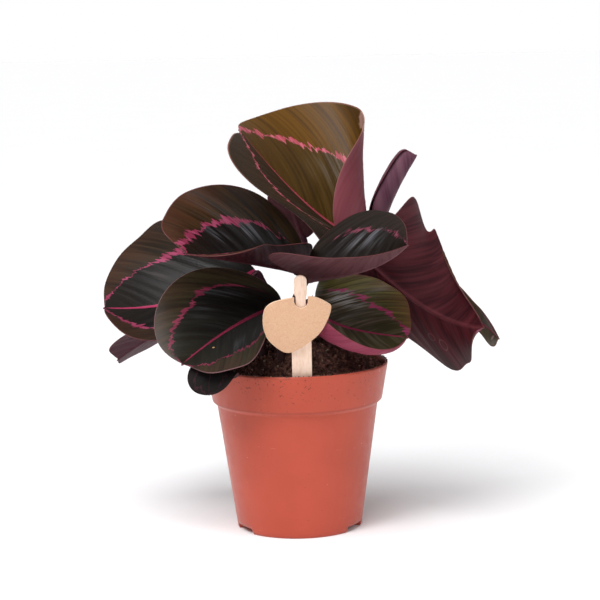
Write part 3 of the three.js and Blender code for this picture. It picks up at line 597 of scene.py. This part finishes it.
def leafMaterial(name, tones, seed):
    # every colour runs in streaks along the side veins: noise of the veins' value over a short
    # length and of the way out from the midrib over a long one
    c = {**darkLeaf, **tones}
    material, tree = newMaterial(name)
    names = ("alongLeaf", "acrossLeaf", "alongVein", "fromRib", "fromEdge", "upperSide", "onStalk")
    t, v, vein, out, toEdge, upper, onStalk = (field(tree, key) for key in names)
    sided = calc("SIGN", v) * 7.3  # gives each half streaks of its own

    def streaks(fine, long, number, detail=2.0, roughness=0.5):
        return noise(joined(vein / fine, out / long, sided + (seed + number)), 1.0, detail, roughness)

    fine, medium, broad = streaks(0.9, 14, 1), streaks(2.2, 18, 2), streaks(7, 26, 3, 1.0)

    # the pink band: a line at one share of the width, shifted streak by streak, its width uneven
    centre = (out + toEdge) * c["bandPlace"] + (streaks(11, 60, 4, 1.0) - 0.5) * 7.0
    centre = centre + (streaks(1.9, 60, 5, 2.0, 0.6) - 0.5) * 6.5
    bandHalf = rise(streaks(9, 60, 6), 0.34, 0.6, 0.15, 1.2) * c["bandWidth"]
    bandHalf = bandHalf * rise(streaks(1.0, 30, 7), 0.3, 0.7, 0.45, 1.35) * rise(t, 0.08, 0.34)
    bandHalf = calc("MINIMUM", bandHalf * rise(v, -0.02, 0.02, c["bandLeft"], 1.0), out * 0.45)
    band = rise(abs(out - centre) - bandHalf, 0.15, -0.15)

    # inside the band almost black, with streaks near it that are partly the leaf's own silver and
    # partly painted highlight; outside brown with dark stripes, warmer towards the margin and the tip
    heart = blend(rise(medium, 0.4, 0.7), *c["heart"])
    heart = layer(heart, c["outer"][0], t, 0.6, 0.95, 0.6)
    outer = blend(rise(medium, 0.35, 0.65), *c["outer"])
    warm = abs(v) * 0.7 + t * 0.5 + (broad - 0.5) * 0.5
    outer = layer(outer, c["rust"], warm, 0.6, 1.15, c["rustShare"])
    outside = rise(out - centre, -0.3, 1.6)
    # silver streaks: partly the leaf's own silvery sheen, partly a painted highlight of the lamps on the
    # pleats
    silverAndHighlight = rise(out / centre, 0.4, 0.75) * rise(medium, 0.4, 0.62) * rise(fine, 0.3, 0.62, 0.35, 1.0)
    silverAndHighlight = silverAndHighlight * rise(abs(t - c["silverAndHighlightPlace"]), 0.3, 0.08)
    silverAndHighlight = silverAndHighlight * rise(broad, 0.42, 0.58, 0.0, c["silverAndHighlightShare"])
    silverAndHighlight = silverAndHighlight * calc("SUBTRACT", 1.0, outside)
    top = blend(outside, heart, outer)
    # painted shade: the left half of the blade darkened
    top = layer(top, c["leftShadeTone"], v, 0.015, -0.015, c["leftShadeShare"])
    # darker towards the base, in the same dark tone
    top = layer(top, c["leftShadeTone"], t, 0.42, 0.1, c["footShare"])
    top = layer(top, c["stripe"], streaks(4.4, 90, 9, 1.0), 0.5, 0.72, 0.5)
    top = blend(silverAndHighlight, top, c["silverAndHighlight"])
    top = blend(band, top, blend(rise(medium, 0.38, 0.66), *c["band"]))
    top = layer(top, c["edge"], toEdge, c["edgeWidth"], 0.1, c["edgeShare"])
    ribHalf = rise(t, 0.0, 1.0, 1.0, 0.3) * c["ribWidth"]
    ribHalf = ribHalf + rise(streaks(1.6, 8, 10), 0.58, 0.72, 0.0, 0.35)
    top = blend(rise(out - ribHalf, 0.14, -0.14) * rise(t, 0.985, 0.93), top, c["rib"])

    # underside: one wine red in faint streaks, a paler midrib
    main, streak, pale = c["under"]
    under = blend(rise(medium, 0.35, 0.7), main, streak)
    under = layer(under, pale, broad, 0.4, 0.75, c["paleShare"])
    under = layer(under, pale, out, 1.5, 0.5, 0.4)
    under = layer(under, c["edge"], toEdge, 0.7, 0.15, 0.4)
    blade = blend(upper, under, top)
    for middle, radius, line, color, strength in c["marks"]:
        blade = blend(markShare(tree, middle, radius, line, strength), blade, color)

    # stalk: dark wine red, browner at its foot, with fine lengthways marks
    stalk = blend(rise(onStalk, 1.0, 1.35), c["stalkFoot"], c["stalk"])
    stalk = layer(stalk, streak, noise(place(tree, (900, 900, 120)), 1.0, 3.0), 0.45, 0.75, 0.6)
    isStalk = rise(onStalk, 0.4, 0.6)
    gloss = rise(upper, 0.0, 1.0, c["underGloss"], c["gloss"]) + (medium - 0.5) * 0.2
    veins = bump(streaks(1.1, 24, 8, 3.0), 0.0001)
    return dress(material, {
        "Base Color": blend(isStalk, blade, stalk),
        "Specular IOR Level": rise(upper, 0.0, 1.0, *c["shine"]),
        "Roughness": calc("MAXIMUM", gloss, isStalk * c["stalkGloss"]),
        "Normal": bump(noise(place(tree, (2600, 2600, 2600))), 0.00003, veins)})


for number, (name, leaf) in enumerate(leafShapes.items()):
    material = leafMaterial(name + "_colour", leafTones[name], 3.0 + 2 * number)
    makeLeaf(name, leaf, material, 0.37 * number)
print("leaves made:", len(leafShapes))


# pot: a ring profile turned round the axis, with notches in its foot and holes in its floor

potSet = {
    "steps": 432, "spacing": 2.0,
    "outside": [(30.9, 0.5), (39.7, 61.8), (41.8, 63.6), (42.0, 64.0), (44.9, 80.6), (45.0, 81.4),
                (44.6, 82.0)],
    "inside": [(43.9, 82.0), (43.6, 80.8), (40.7, 64.6), (38.4, 62.3), (30.2, 4.0)],
    "footOuter": 30.5, "footInner": 26.3, "floorBottom": 2.8, "floorTop": 4.0,
    "notches": (-62, 62, 180), "notchWidth": 15, "notchHeight": 2.7, "notchSlant": 0.8,
    "holes": 6, "holeRadius": 3.5, "holeCircle": 18, "sheetRings": 14, "sideSteps": 13,
    "rounding": 0.35, "collarLine": 63.9, "collarFade": (0.9, 0.1), "dirtFrom": 58, "dirtTo": 83,
    "lipFrom": 80.2, "lipTo": 81.6,
    "body": (168, 68, 48), "bodyPale": (175, 72, 52), "scuff": (212, 132, 112),
    "scratch": (226, 162, 146), "dirt": (70, 34, 26), "collar": (120, 52, 40), "lip": (104, 52, 42)}


def softened(profile, reach, steps=6):
    # each corner of a line gives way to a short curve of second degree
    profile = np.array(profile, float)
    points = [profile[0]]
    for before, corner, after in zip(profile, profile[1:], profile[2:]):
        short = min(reach, *(np.linalg.norm(p - corner) / 2.2 for p in (before, after)))
        start, end = corner + unit(before - corner) * short, corner + unit(after - corner) * short
        u = np.linspace(0, 1, steps)[:, None]
        points.extend((1 - u) ** 2 * start + 2 * u * (1 - u) * corner + u ** 2 * end)
    points.append(profile[-1])
    return np.array(points)


def spread(profile, spacing):
    # points added along a line so that none lie further apart than the spacing
    points = [profile[:1]]
    for a, b in zip(profile, profile[1:]):
        count = max(1, int(np.ceil(np.linalg.norm(b - a) / spacing)))
        points.append(a + (b - a) * np.linspace(0, 1, count + 1)[1:, None])
    return np.concatenate(points)


def footHeight(p, angle):
    # the foot ring's lower height: nothing, but the notch's height inside each notch
    height = np.zeros_like(angle)
    for notch in p["notches"]:
        away = (angle - np.radians(notch - 90) + np.pi) % (2 * np.pi) - np.pi
        side = p["notchWidth"] / 2 - np.abs(away) * p["footOuter"]
        height = np.maximum(height, p["notchHeight"] * np.clip(side / p["notchSlant"], 0, 1) ** 0.7)
    return height


def makePot(p, material):
    # a profile of distances and heights turned round the axis, its foot raised inside the notches
    angle = circle(p["steps"])
    inner, outer = p["footInner"], p["footOuter"]
    foot = [(inner, p["floorBottom"]), (inner, 0.25), (inner + 0.25, 0), (outer - 0.3, 0), (outer, 0.12)]
    shell = spread(softened(p["outside"] + p["inside"], p["rounding"]), p["spacing"])
    reach, height = np.concatenate([foot, shell]).T[..., None]
    wall = roundAxis(reach, angle, np.maximum(height, footHeight(p, angle)))
    faces = gridQuads(len(wall), len(angle), wrap=True)

    # floor: in each sixth of the turn, rings run from its hole out to the sixth's border
    share = np.linspace(0, 1, p["sheetRings"]) ** 1.4
    sixth = 2 * np.pi / p["holes"]
    rim = []
    for edge in (inner, p["inside"][-1][0]):
        bend = np.linspace(-sixth / 2, sixth / 2, p["steps"] // p["holes"] + 1)
        arc = np.stack([edge * np.cos(bend), edge * np.sin(bend)], -1)
        side = np.linspace(1, 0, p["sideSteps"])[1:, None] * arc[-1]
        other = np.linspace(0, 1, p["sideSteps"])[1:-1, None] * arc[0]
        rim.append(np.concatenate([arc, side, other]))
    sheets, floorFaces, start = [], [], wall.size // 3
    for k in range(p["holes"]):
        turn = sixth * k
        spin = np.array([[math.cos(turn), math.sin(turn)], [-math.sin(turn), math.cos(turn)]])
        bottom, top = ((border - (p["holeCircle"], 0)) for border in rim)
        hole = p["holeRadius"] * unit(bottom)
        layers = [hole + (bottom - hole) * s for s in share[::-1, None, None]]
        layers += [hole + (top - hole) * s for s in share[:, None, None]]
        flat = (np.array(layers) + (p["holeCircle"], 0)) @ spin
        heights = np.repeat([p["floorBottom"], p["floorTop"]], len(share) * flat.shape[1])
        sheet = np.concatenate([flat, heights.reshape(*flat.shape[:2], 1)], -1)
        sheets.append(sheet.reshape(-1, 3))
        floorFaces.append(gridQuads(len(sheet), flat.shape[1], wrap=True, start=start)[:, ::-1])
        start += len(sheets[-1])
    points = np.concatenate([wall.reshape(-1, 3), *sheets])
    faces = np.concatenate([faces, *floorFaces]).tolist()
    piece = makePiece("pot_shell", points, faces, material, ("pot",))
    work = bmesh.new()
    work.from_mesh(piece.data)
    bmesh.ops.remove_doubles(work, verts=work.verts, dist=0.002 * mm)
    bmesh.ops.recalc_face_normals(work, faces=work.faces)
    work.to_mesh(piece.data)
    work.free()


def potMaterial(p):
    # terracotta plastic: faint clouds, scuffs and scratches, dirt specks that thicken near the rim,
    # painted shade in a dark line under the collar, and a dirty lip
    material, tree = newMaterial("pot_colour")
    where = place(tree)
    height = addNode(tree, "SeparateXYZ", {0: where}, 2)
    body = blend(rise(noise(where, 38, 3.0), 0.3, 0.7), p["body"], p["bodyPale"])
    scuffs = noise(place(tree, (70, 70, 260)), 1.0, 6.0, 0.75)
    body = layer(body, p["scuff"], scuffs, 0.62, 0.78, 0.4)
    body = layer(body, p["scratch"], noise(place(tree, (420, 420, 620))), 0.76, 0.8, 0.6)
    patches = noise(where, 60, 3.0, 0.6)
    nearRim = rise(height, p["dirtFrom"] * mm, p["dirtTo"] * mm, 0.0, 0.1) + patches * 0.22
    body = layer(body, p["dirt"], noise(where, 900, 3.0, 0.6) + nearRim, 0.81, 0.86, 0.75)
    # painted shade: a dark line along the collar's lower edge, where it overhangs the body
    wide, narrow = p["collarFade"]
    line = abs(height - p["collarLine"] * mm)
    body = layer(body, p["collar"], line, wide * mm, narrow * mm, 0.35)
    lip = rise(height, p["lipFrom"] * mm, p["lipTo"] * mm) * rise(patches, 0.42, 0.6, 0.1, 0.7)
    waves = bump(noise(where, 55, 1.0), 0.0003)
    return dress(material, {
        "Base Color": blend(lip, body, p["lip"]),
        "Roughness": rise(noise(where, 220, 3.0), 0.3, 0.7, 0.38, 0.5),
        "Specular IOR Level": 0.28, "Sheen Weight": 0.2, "Sheen Roughness": 0.4,
        "Normal": bump(noise(where, 1800), 0.00002, waves)})


makePot(potSet, potMaterial(potSet))
print("pot made")


# soil: one body that fills the pot, its top a sum of waves and grains, with crumbs and fibres on it

soilSet = {
    "top": 80, "bottom": 4.3, "gap": 0.3, "rings": 150, "steps": 300, "relief": 0.9,
    "grainSizes": (4.2, 2.6, 1.6, 1.0, 0.65), "grainHeight": 0.085,
    "crumbs": 900, "crumbReach": 41, "specks": 90, "speckReach": 40,
    "fibres": 46, "fibreReach": 38, "fibreSteps": 14, "fibreSides": 5, "fibreRadius": 0.16,
    "rimCrumbs": 420, "lip": (43.9, 44.75), "lipHeight": 82.0,
    "peat": ((68, 44, 39), (136, 96, 82)), "speck": ((150, 134, 112), (206, 192, 172)),
    "fibre": ((84, 60, 40), (128, 98, 66))}


def soilTop(x, y):
    # the height of the soil without its grains: the mound and three crossed waves on it
    top = 0.5 * np.sin(0.16 * x + 0.9) * np.cos(0.19 * y - 0.4)
    top += 0.35 * np.sin(0.55 * x + 0.31 * y) * np.sin(0.47 * y - 0.38 * x + 1.7)
    top += 0.3 * np.sin(1.1 * x - 0.8 * y + 0.5) * np.cos(0.9 * y + 0.7 * x)
    return soilSet["top"] + moundHeight(x, y) + soilSet["relief"] * top


def grains(x, y, seed):
    # crossed waves of several lengths, each turned and shifted at random
    random = np.random.default_rng(seed)
    total = np.zeros_like(x)
    for size in soilSet["grainSizes"]:
        for _ in range(5):
            turn, shift, drift = random.uniform(0, 2 * np.pi, 3)
            wave = np.cos(turn) * x + np.sin(turn) * y
            cross = -np.sin(turn) * x + np.cos(turn) * y
            crossed = np.sin(2 * np.pi * wave / size + shift) * np.sin(2 * np.pi * cross / size + drift)
            total += size * soilSet["grainHeight"] * crossed
    return total


def makeSoil(s, material):
    # rings from the middle out to the wall, then down inside the pot's own profile
    angle = circle(s["steps"])
    wall = np.array(potSet["inside"][:0:-1])
    edge = np.interp(s["top"], wall[:, 1], wall[:, 0]) - s["gap"]
    share = np.linspace(0, 1, s["rings"] + 1)[1:]
    x = edge * share[:, None] * np.cos(angle)
    y = edge * share[:, None] * np.sin(angle)
    bumps = grains(x, y, 5) * np.clip((1 - share) * 30, 0, 1)[:, None]
    top = np.stack([x, y, soilTop(x, y) + bumps], -1)
    levels = np.array([wall[1, 1], 40, 20, s["bottom"]])
    reach = np.interp(levels, wall[:, 1], wall[:, 0]) - s["gap"]
    ring = np.concatenate([top, roundAxis(reach[:, None], angle, levels[:, None])])
    middle = [[0, 0, soilTop(np.zeros(1), np.zeros(1))[0]], [0, 0, s["bottom"]]]
    points = np.concatenate([ring.reshape(-1, 3), middle])
    makePiece("soil_body", points, pillFaces(len(ring), len(angle)), material, ("soil",))


def lumps(centres, sizes, seed):
    # small rough stones: a coarse globe each, stretched, turned, its points pushed in and out
    random = np.random.default_rng(seed)
    turns, levels = 8, 5
    around, up = np.meshgrid(circle(turns), np.linspace(0, np.pi, levels + 2)[1:-1])
    globe = roundAxis(np.sin(up), around, np.cos(up))
    globe = np.concatenate([globe.reshape(-1, 3), [[0, 0, 1], [0, 0, -1]]])
    count, each = len(centres), len(globe)
    stretch = random.uniform(0.55, 1.25, (count, 1, 3))
    push = random.uniform(0.78, 1.15, (count, each, 1))
    spin = random.uniform(0, 2 * np.pi, count)
    shape = globe * stretch * push * sizes[:, None, None]
    c, s = np.cos(spin)[:, None], np.sin(spin)[:, None]
    x, y, z = np.moveaxis(shape, -1, 0)
    turned = np.stack([x * c - y * s, x * s + y * c, z], -1)
    points = (turned + centres[:, None]).reshape(-1, 3)
    one = pillFaces(levels, turns)
    return points, [[v + each * n for v in face] for n in range(count) for face in one]


def scattered(count, reach, random):
    # evenly over a disc: the distance from its middle is the root of an even draw
    r = reach * np.sqrt(random.uniform(0, 1, count))
    angle = random.uniform(0, 2 * np.pi, count)
    return r * np.cos(angle), r * np.sin(angle)


def makeCrumbs(s, material, paleMaterial):
    # dark crumbs, mostly small, and fewer pale specks
    random = np.random.default_rng(11)
    x, y = scattered(s["crumbs"], s["crumbReach"], random)
    sizes = random.uniform(0.35, 1.0, len(x)) ** 1.6 * 1.5
    points, faces = lumps(np.stack([x, y, soilTop(x, y) + 0.3 * sizes], -1), sizes, 12)
    makePiece("soil_crumbs", points, faces, material, smoothed=False)
    x, y = scattered(s["specks"], s["speckReach"], random)
    sizes = random.uniform(0.3, 0.75, len(x))
    points, faces = lumps(np.stack([x, y, soilTop(x, y) + 0.5], -1), sizes, 13)
    makePiece("soil_specks", points, faces, paleMaterial, smoothed=False)


def makeFibres(s, material):
    # thin bent threads on the soil: each a tube along an arc, its ends pointed, its middle raised
    random = np.random.default_rng(21)
    count, steps, sides = s["fibres"], s["fibreSteps"], s["fibreSides"]
    x, y = scattered(count, s["fibreReach"], random)
    length = random.uniform(3, 10, count)
    heading = random.uniform(0, 2 * np.pi, count)
    curl = random.uniform(-1.6, 1.6, count)
    u = np.linspace(0, 1, steps)
    turn = heading[:, None] + curl[:, None] * u
    stepLength = length[:, None] / (steps - 1)
    px = x[:, None] + np.cumsum(np.cos(turn) * stepLength, 1)
    py = y[:, None] + np.cumsum(np.sin(turn) * stepLength, 1)
    inward = np.minimum(1, s["crumbReach"] / np.maximum(np.hypot(px, py), 1e-6))
    px, py = px * inward, py * inward
    pz = soilTop(px, py) + 0.75 + 0.9 * np.sin(np.pi * u) * random.uniform(0, 1, (count, 1))
    angle = circle(sides)
    reach = (s["fibreRadius"] * np.sin(np.pi * np.clip(u, 0.03, 0.97)) ** 0.4)[:, None]
    side = np.stack([-np.sin(turn), np.cos(turn), np.zeros_like(turn)], -1)
    ring = (np.stack([px, py, pz], -1)[:, :, None] + (reach * np.cos(angle))[..., None] * side[:, :, None]
            + (reach * np.sin(angle))[..., None] * np.array([0, 0, 1.0]))
    faces = [face for k in range(count) for face in tubeFaces(steps, sides, k * steps * sides, True)]
    makePiece("soil_fibres", ring.reshape(-1, 3), faces, material)


def peatMaterial(name, tones, shift):
    # two tones mixed in coarse grains, the light one again in fine ones; rough all over
    material, tree = newMaterial(name)
    coarse = noise(place(tree), 420 + shift, 4.0, 0.65)
    fine = noise(place(tree), 1700, 3.0, 0.6)
    color = blend(rise(coarse, 0.42, 0.68), *tones)
    return dress(material, {
        "Base Color": layer(color, tones[1], fine, 0.58, 0.7, 0.6),
        "Roughness": 0.92, "Specular IOR Level": 0.25,
        "Normal": bump(coarse, 0.0008, bump(fine, 0.0003))})


def makeRimDirt(s, material):
    # dirt crumbs on the pot's lip, thickest in a few drifts round it
    random = np.random.default_rng(31)
    angle = random.uniform(0, 2 * np.pi, s["rimCrumbs"])
    drift = 0.5 + 0.5 * np.sin(3 * angle + 1.0) * np.sin(7 * angle + 0.4)
    keep = random.uniform(0, 1, len(angle)) < 0.15 + 0.85 * drift
    angle = angle[keep]
    r = random.uniform(*s["lip"], len(angle))
    sizes = random.uniform(0.12, 0.34, len(angle))
    points, faces = lumps(roundAxis(r, angle, s["lipHeight"] + 0.2 * sizes), sizes, 32)
    makePiece("rim_dirt", points, faces, material, smoothed=False)


peat = peatMaterial("peat_dark", soilSet["peat"], 0)
makeSoil(soilSet, peat)
makeCrumbs(soilSet, peat, peatMaterial("peat_specks", soilSet["speck"], 9))
makeFibres(soilSet, peatMaterial("fibre_colour", soilSet["fibre"], 4))
makeRimDirt(soilSet, peat)
print("soil made")


# label: a flat stick and the plate hung in its neck, both on one leaning plane. On it, x runs to
# the right, y up the stick and z to the front

labelSet = {
    "foot": (0, -46, 105), "slope": 0.24,
    "stickMiddle": 2.6, "stickThickness": 1.2, "stickHalf": 4.7, "neckHalf": 2.4, "headHalf": 3.0,
    "stickBottom": -52, "shoulder": 8, "neckStart": 10, "neckEnd": 16.8, "headStart": 17.6,
    "stickTop": 27.2, "stickRounding": 0.25, "outlineRounding": 0.5, "outlineSpacing": 2.0,
    "tagThickness": 1.0, "tagMiddle": 1.4, "tagRounding": 0.18, "tagSteps": 14,
    "slotLeft": -0.4, "slotRight": 5.9, "slotBottom": 11.4,
    "tagOutline": [(-15.4, 4.9), (-13.7, 12.1), (-7, 15.6), (7, 17.2), (15.4, 13.6), (16.7, 10.6),
                   (14.3, 3.6), (10, -2.8), (1.4, -9.2), (-4.8, -11), (-10.8, -6.9), (-14, -2.3)],
    "wood": ((226, 200, 182), (214, 182, 158)), "woodPale": (238, 210, 194),
    "board": ((197, 154, 123), (206, 168, 137)), "fleckDark": (164, 118, 88),
    "fleckPale": (222, 190, 162), "cutEdge": (230, 200, 172)}


def onLabel(points):
    # from the label's plane to the frame: leant back by the slope's angle, then moved to the foot
    lean = math.atan(labelSet["slope"])
    x, y, z = points[..., 0], points[..., 1], points[..., 2]
    fx, fy, fz = labelSet["foot"]
    return np.stack([x + fx, fy - y * math.sin(lean) - z * math.cos(lean),
                     fz + y * math.cos(lean) - z * math.sin(lean)], -1)


def closedCurve(points, steps):
    # a smooth closed line through all the points
    p = np.array(points, float)
    u = np.linspace(0, 1, steps, endpoint=False)[:, None, None]
    curve = between(*(np.roll(p, k, 0) for k in (1, 0, -1, -2)), u)
    return curve.transpose(1, 0, 2).reshape(-1, 2)


def inset(outline, distance):
    # the outline drawn in by a distance, each point along the mean of its two edges' normals
    edge = np.roll(outline, -1, 0) - outline
    normal = unit(np.stack([-edge[:, 1], edge[:, 0]], -1))
    return outline + distance * unit(normal + np.roll(normal, 1, 0))


def plate(outline, back, front, rounding):
    # an outline (anticlockwise seen from the front) given thickness, its long edges rounded off
    bend = np.linspace(0, np.pi / 2, 5)
    steps = list(zip(rounding * (1 - np.sin(bend)), rounding * (1 - np.cos(bend))))
    levels = [(drawn, back + up) for drawn, up in steps]
    levels += [(drawn, front - up) for drawn, up in steps[::-1]]
    rings = [np.column_stack([inset(outline, drawn), np.full(len(outline), z)]) for drawn, z in levels]
    return np.concatenate(rings), tubeFaces(len(rings), len(outline))


def arcPoints(x, y, radius, start, end, count):
    return [(x + radius * math.cos(a), y + radius * math.sin(a)) for a in np.linspace(start, end, count)]


def stickOutline(s):
    # anticlockwise: up the right side, round the head, down the left side
    radius = s["headHalf"]
    right = [(s["stickHalf"], s["stickBottom"]), (s["stickHalf"], s["shoulder"]),
             (s["neckHalf"], s["neckStart"]), (s["neckHalf"], s["neckEnd"]), (radius, s["headStart"])]
    head = arcPoints(0, s["stickTop"] - radius, radius, 0, np.pi, 21)
    left = [(-x, y) for x, y in right[::-1]]
    line = softened(right + head[1:-1] + left, s["outlineRounding"], 4)
    return spread(line, s["outlineSpacing"]) + (s["stickMiddle"], 0)


def tagOutline(s):
    # the curved outline, anticlockwise, with a slot cut into its upper edge, round at the bottom
    curve = closedCurve(s["tagOutline"], s["tagSteps"])[::-1]
    left, right, bottom = s["slotLeft"], s["slotRight"], s["slotBottom"]
    cut = (curve[:, 0] > left) & (curve[:, 0] < right) & (curve[:, 1] > bottom)
    curve = np.roll(curve, -np.flatnonzero(cut)[-1] - 1, 0)[:len(curve) - cut.sum()]
    radius = (right - left) / 2
    rounded = arcPoints(left + radius, bottom + radius, radius, 2 * np.pi, np.pi, 15)
    after, before = curve[0], curve[-1]  # where the outline goes on, left of the slot, and its end
    drop = (right - after[0]) / (before[0] - after[0])
    lip = before[1] + drop * (after[1] - before[1])  # the slot's right corner is a little lower
    return np.concatenate([curve, [(right, lip)], rounded, [(left, after[1])]])


def woodMaterial(s):
    # pale wood: fine lines stretched along the stick, and slow pale clouds
    material, tree = newMaterial("stick_colour")
    lines = noise(place(tree, (900, 900, 28)), 1.0, 3.0, 0.6)
    color = blend(rise(lines, 0.3, 0.7), *s["wood"])
    return dress(material, {
        "Base Color": layer(color, s["woodPale"], noise(place(tree, (160, 160, 22))), 0.45, 0.75, 0.4),
        "Roughness": 0.62, "Specular IOR Level": 0.3, "Normal": bump(lines, 0.00008)})


def boardMaterial(s):
    # kraft board: a light brown with fine fibres, darker and paler flecks; the cut edge paler
    material, tree = newMaterial("tag_colour")
    fibres = noise(place(tree, (1500, 500, 1500)), 1.0, 4.0, 0.65)
    flecks = noise(place(tree), 1300, 2.0, 0.55)
    color = blend(rise(fibres, 0.3, 0.7), *s["board"])
    color = layer(color, s["fleckDark"], flecks, 0.64, 0.72, 0.45)
    color = layer(color, s["fleckPale"], flecks, 0.36, 0.28, 0.5)
    return dress(material, {
        "Base Color": layer(color, s["cutEdge"], field(tree, "fromFace"), 0.3, 0.7),
        "Roughness": 0.78, "Specular IOR Level": 0.25, "Normal": bump(fibres, 0.00006)})


def makeLabel(s):
    # stick and tag are plates on the label's plane, the tag a little in front
    half = s["stickThickness"] / 2
    points, faces = plate(stickOutline(s), -half, half, s["stickRounding"])
    makePiece("stick_plate", onLabel(points), faces, woodMaterial(s), ("label_stick",))
    half, middle = s["tagThickness"] / 2, s["tagMiddle"]
    points, faces = plate(tagOutline(s), middle - half, middle + half, s["tagRounding"])
    inEdge = np.clip(4 * (1 - np.abs(points[:, 2] - middle) / half), 0, 1)
    makePiece("tag_plate", onLabel(points), faces, boardMaterial(s), ("label_tag",),
              {"fromFace": inEdge})


makeLabel(labelSet)
print("label made")


# floor and light: a pale sheet, a near-white sky, one broad high lamp and two soft ones

stageSet = {
    "floorSize": 30000, "floorSteps": 41, "floorLevel": -0.02,
    "floorTones": ((251, 251, 252), (248, 248, 250)),
    "skyStep": (0.03, 0.22), "horizon": 1.0, "zenith": 0.3,
    "sun": {"place": (-350, -560, 1150), "strength": 2.95, "angle": 50},
    "lamps": {
        "key": {"place": (-420, -560, 760), "aim": (0, 0, 120), "size": 360, "watts": 2.6},
        "fill": {"place": (620, -520, 520), "aim": (10, 0, 100), "size": 300, "watts": 1.5}}}


def makeFloor(s):
    # a flat grid: a level sheet a hair under the pot's foot
    count = s["floorSteps"]
    steps = np.linspace(-s["floorSize"] / 2, s["floorSize"] / 2, count)
    x, y = np.meshgrid(steps, steps)
    points = np.stack([x, y, np.full_like(x, s["floorLevel"])], -1).reshape(-1, 3) * mm
    mesh = bpy.data.meshes.new("floor_sheet")
    mesh.from_pydata(points.tolist(), [], gridQuads(count, count).tolist())
    material, tree = newMaterial("floor_colour")
    color = blend(noise(place(tree), 5), *s["floorTones"])
    mesh.materials.append(dress(material, {
        "Base Color": color, "Roughness": 0.6, "Specular IOR Level": 0.2}))
    floor = bpy.data.objects.new("floor_sheet", mesh)
    bpy.context.collection.objects.link(floor)


def makeSky(s):
    # pale all round, darker towards the ceiling: brightness falls with the height of the direction
    world = bpy.data.worlds.new("sky")
    bpy.context.scene.world = world
    world.use_nodes = True
    tree = world.node_tree
    height = addNode(tree, "SeparateXYZ", {0: addNode(tree, "TexCoord", output="Generated")}, 2)
    background = tree.nodes["Background"]
    feed(background.inputs["Strength"], rise(height, *s["skyStep"], s["horizon"], s["zenith"]))
    background.inputs["Color"].default_value = (1, 1, 1, 1)


def hangLight(name, kind, energy, spot, aim):
    # a light at one point that shines towards another
    data = bpy.data.lights.new(name, kind)
    data.energy = energy
    light = bpy.data.objects.new(name, data)
    spot, aim = Vector(spot) * mm, Vector(aim) * mm
    turn = (aim - spot).to_track_quat("-Z", "Y").to_matrix().to_4x4()
    light.matrix_world = Matrix.Translation(spot) @ turn
    bpy.context.collection.objects.link(light)
    return data


makeFloor(stageSet)
makeSky(stageSet)
sun = stageSet["sun"]
sunData = hangLight("sun", "SUN", sun["strength"], sun["place"], (0, 0, 0))
sunData.angle = math.radians(sun["angle"])
for name, lamp in stageSet["lamps"].items():
    lampData = hangLight(name, "AREA", lamp["watts"], lamp["place"], lamp["aim"])
    lampData.shape = "DISK"
    lampData.size = lamp["size"] * mm
bpy.context.scene.view_settings.view_transform = "Standard"
print("floor and lights made")
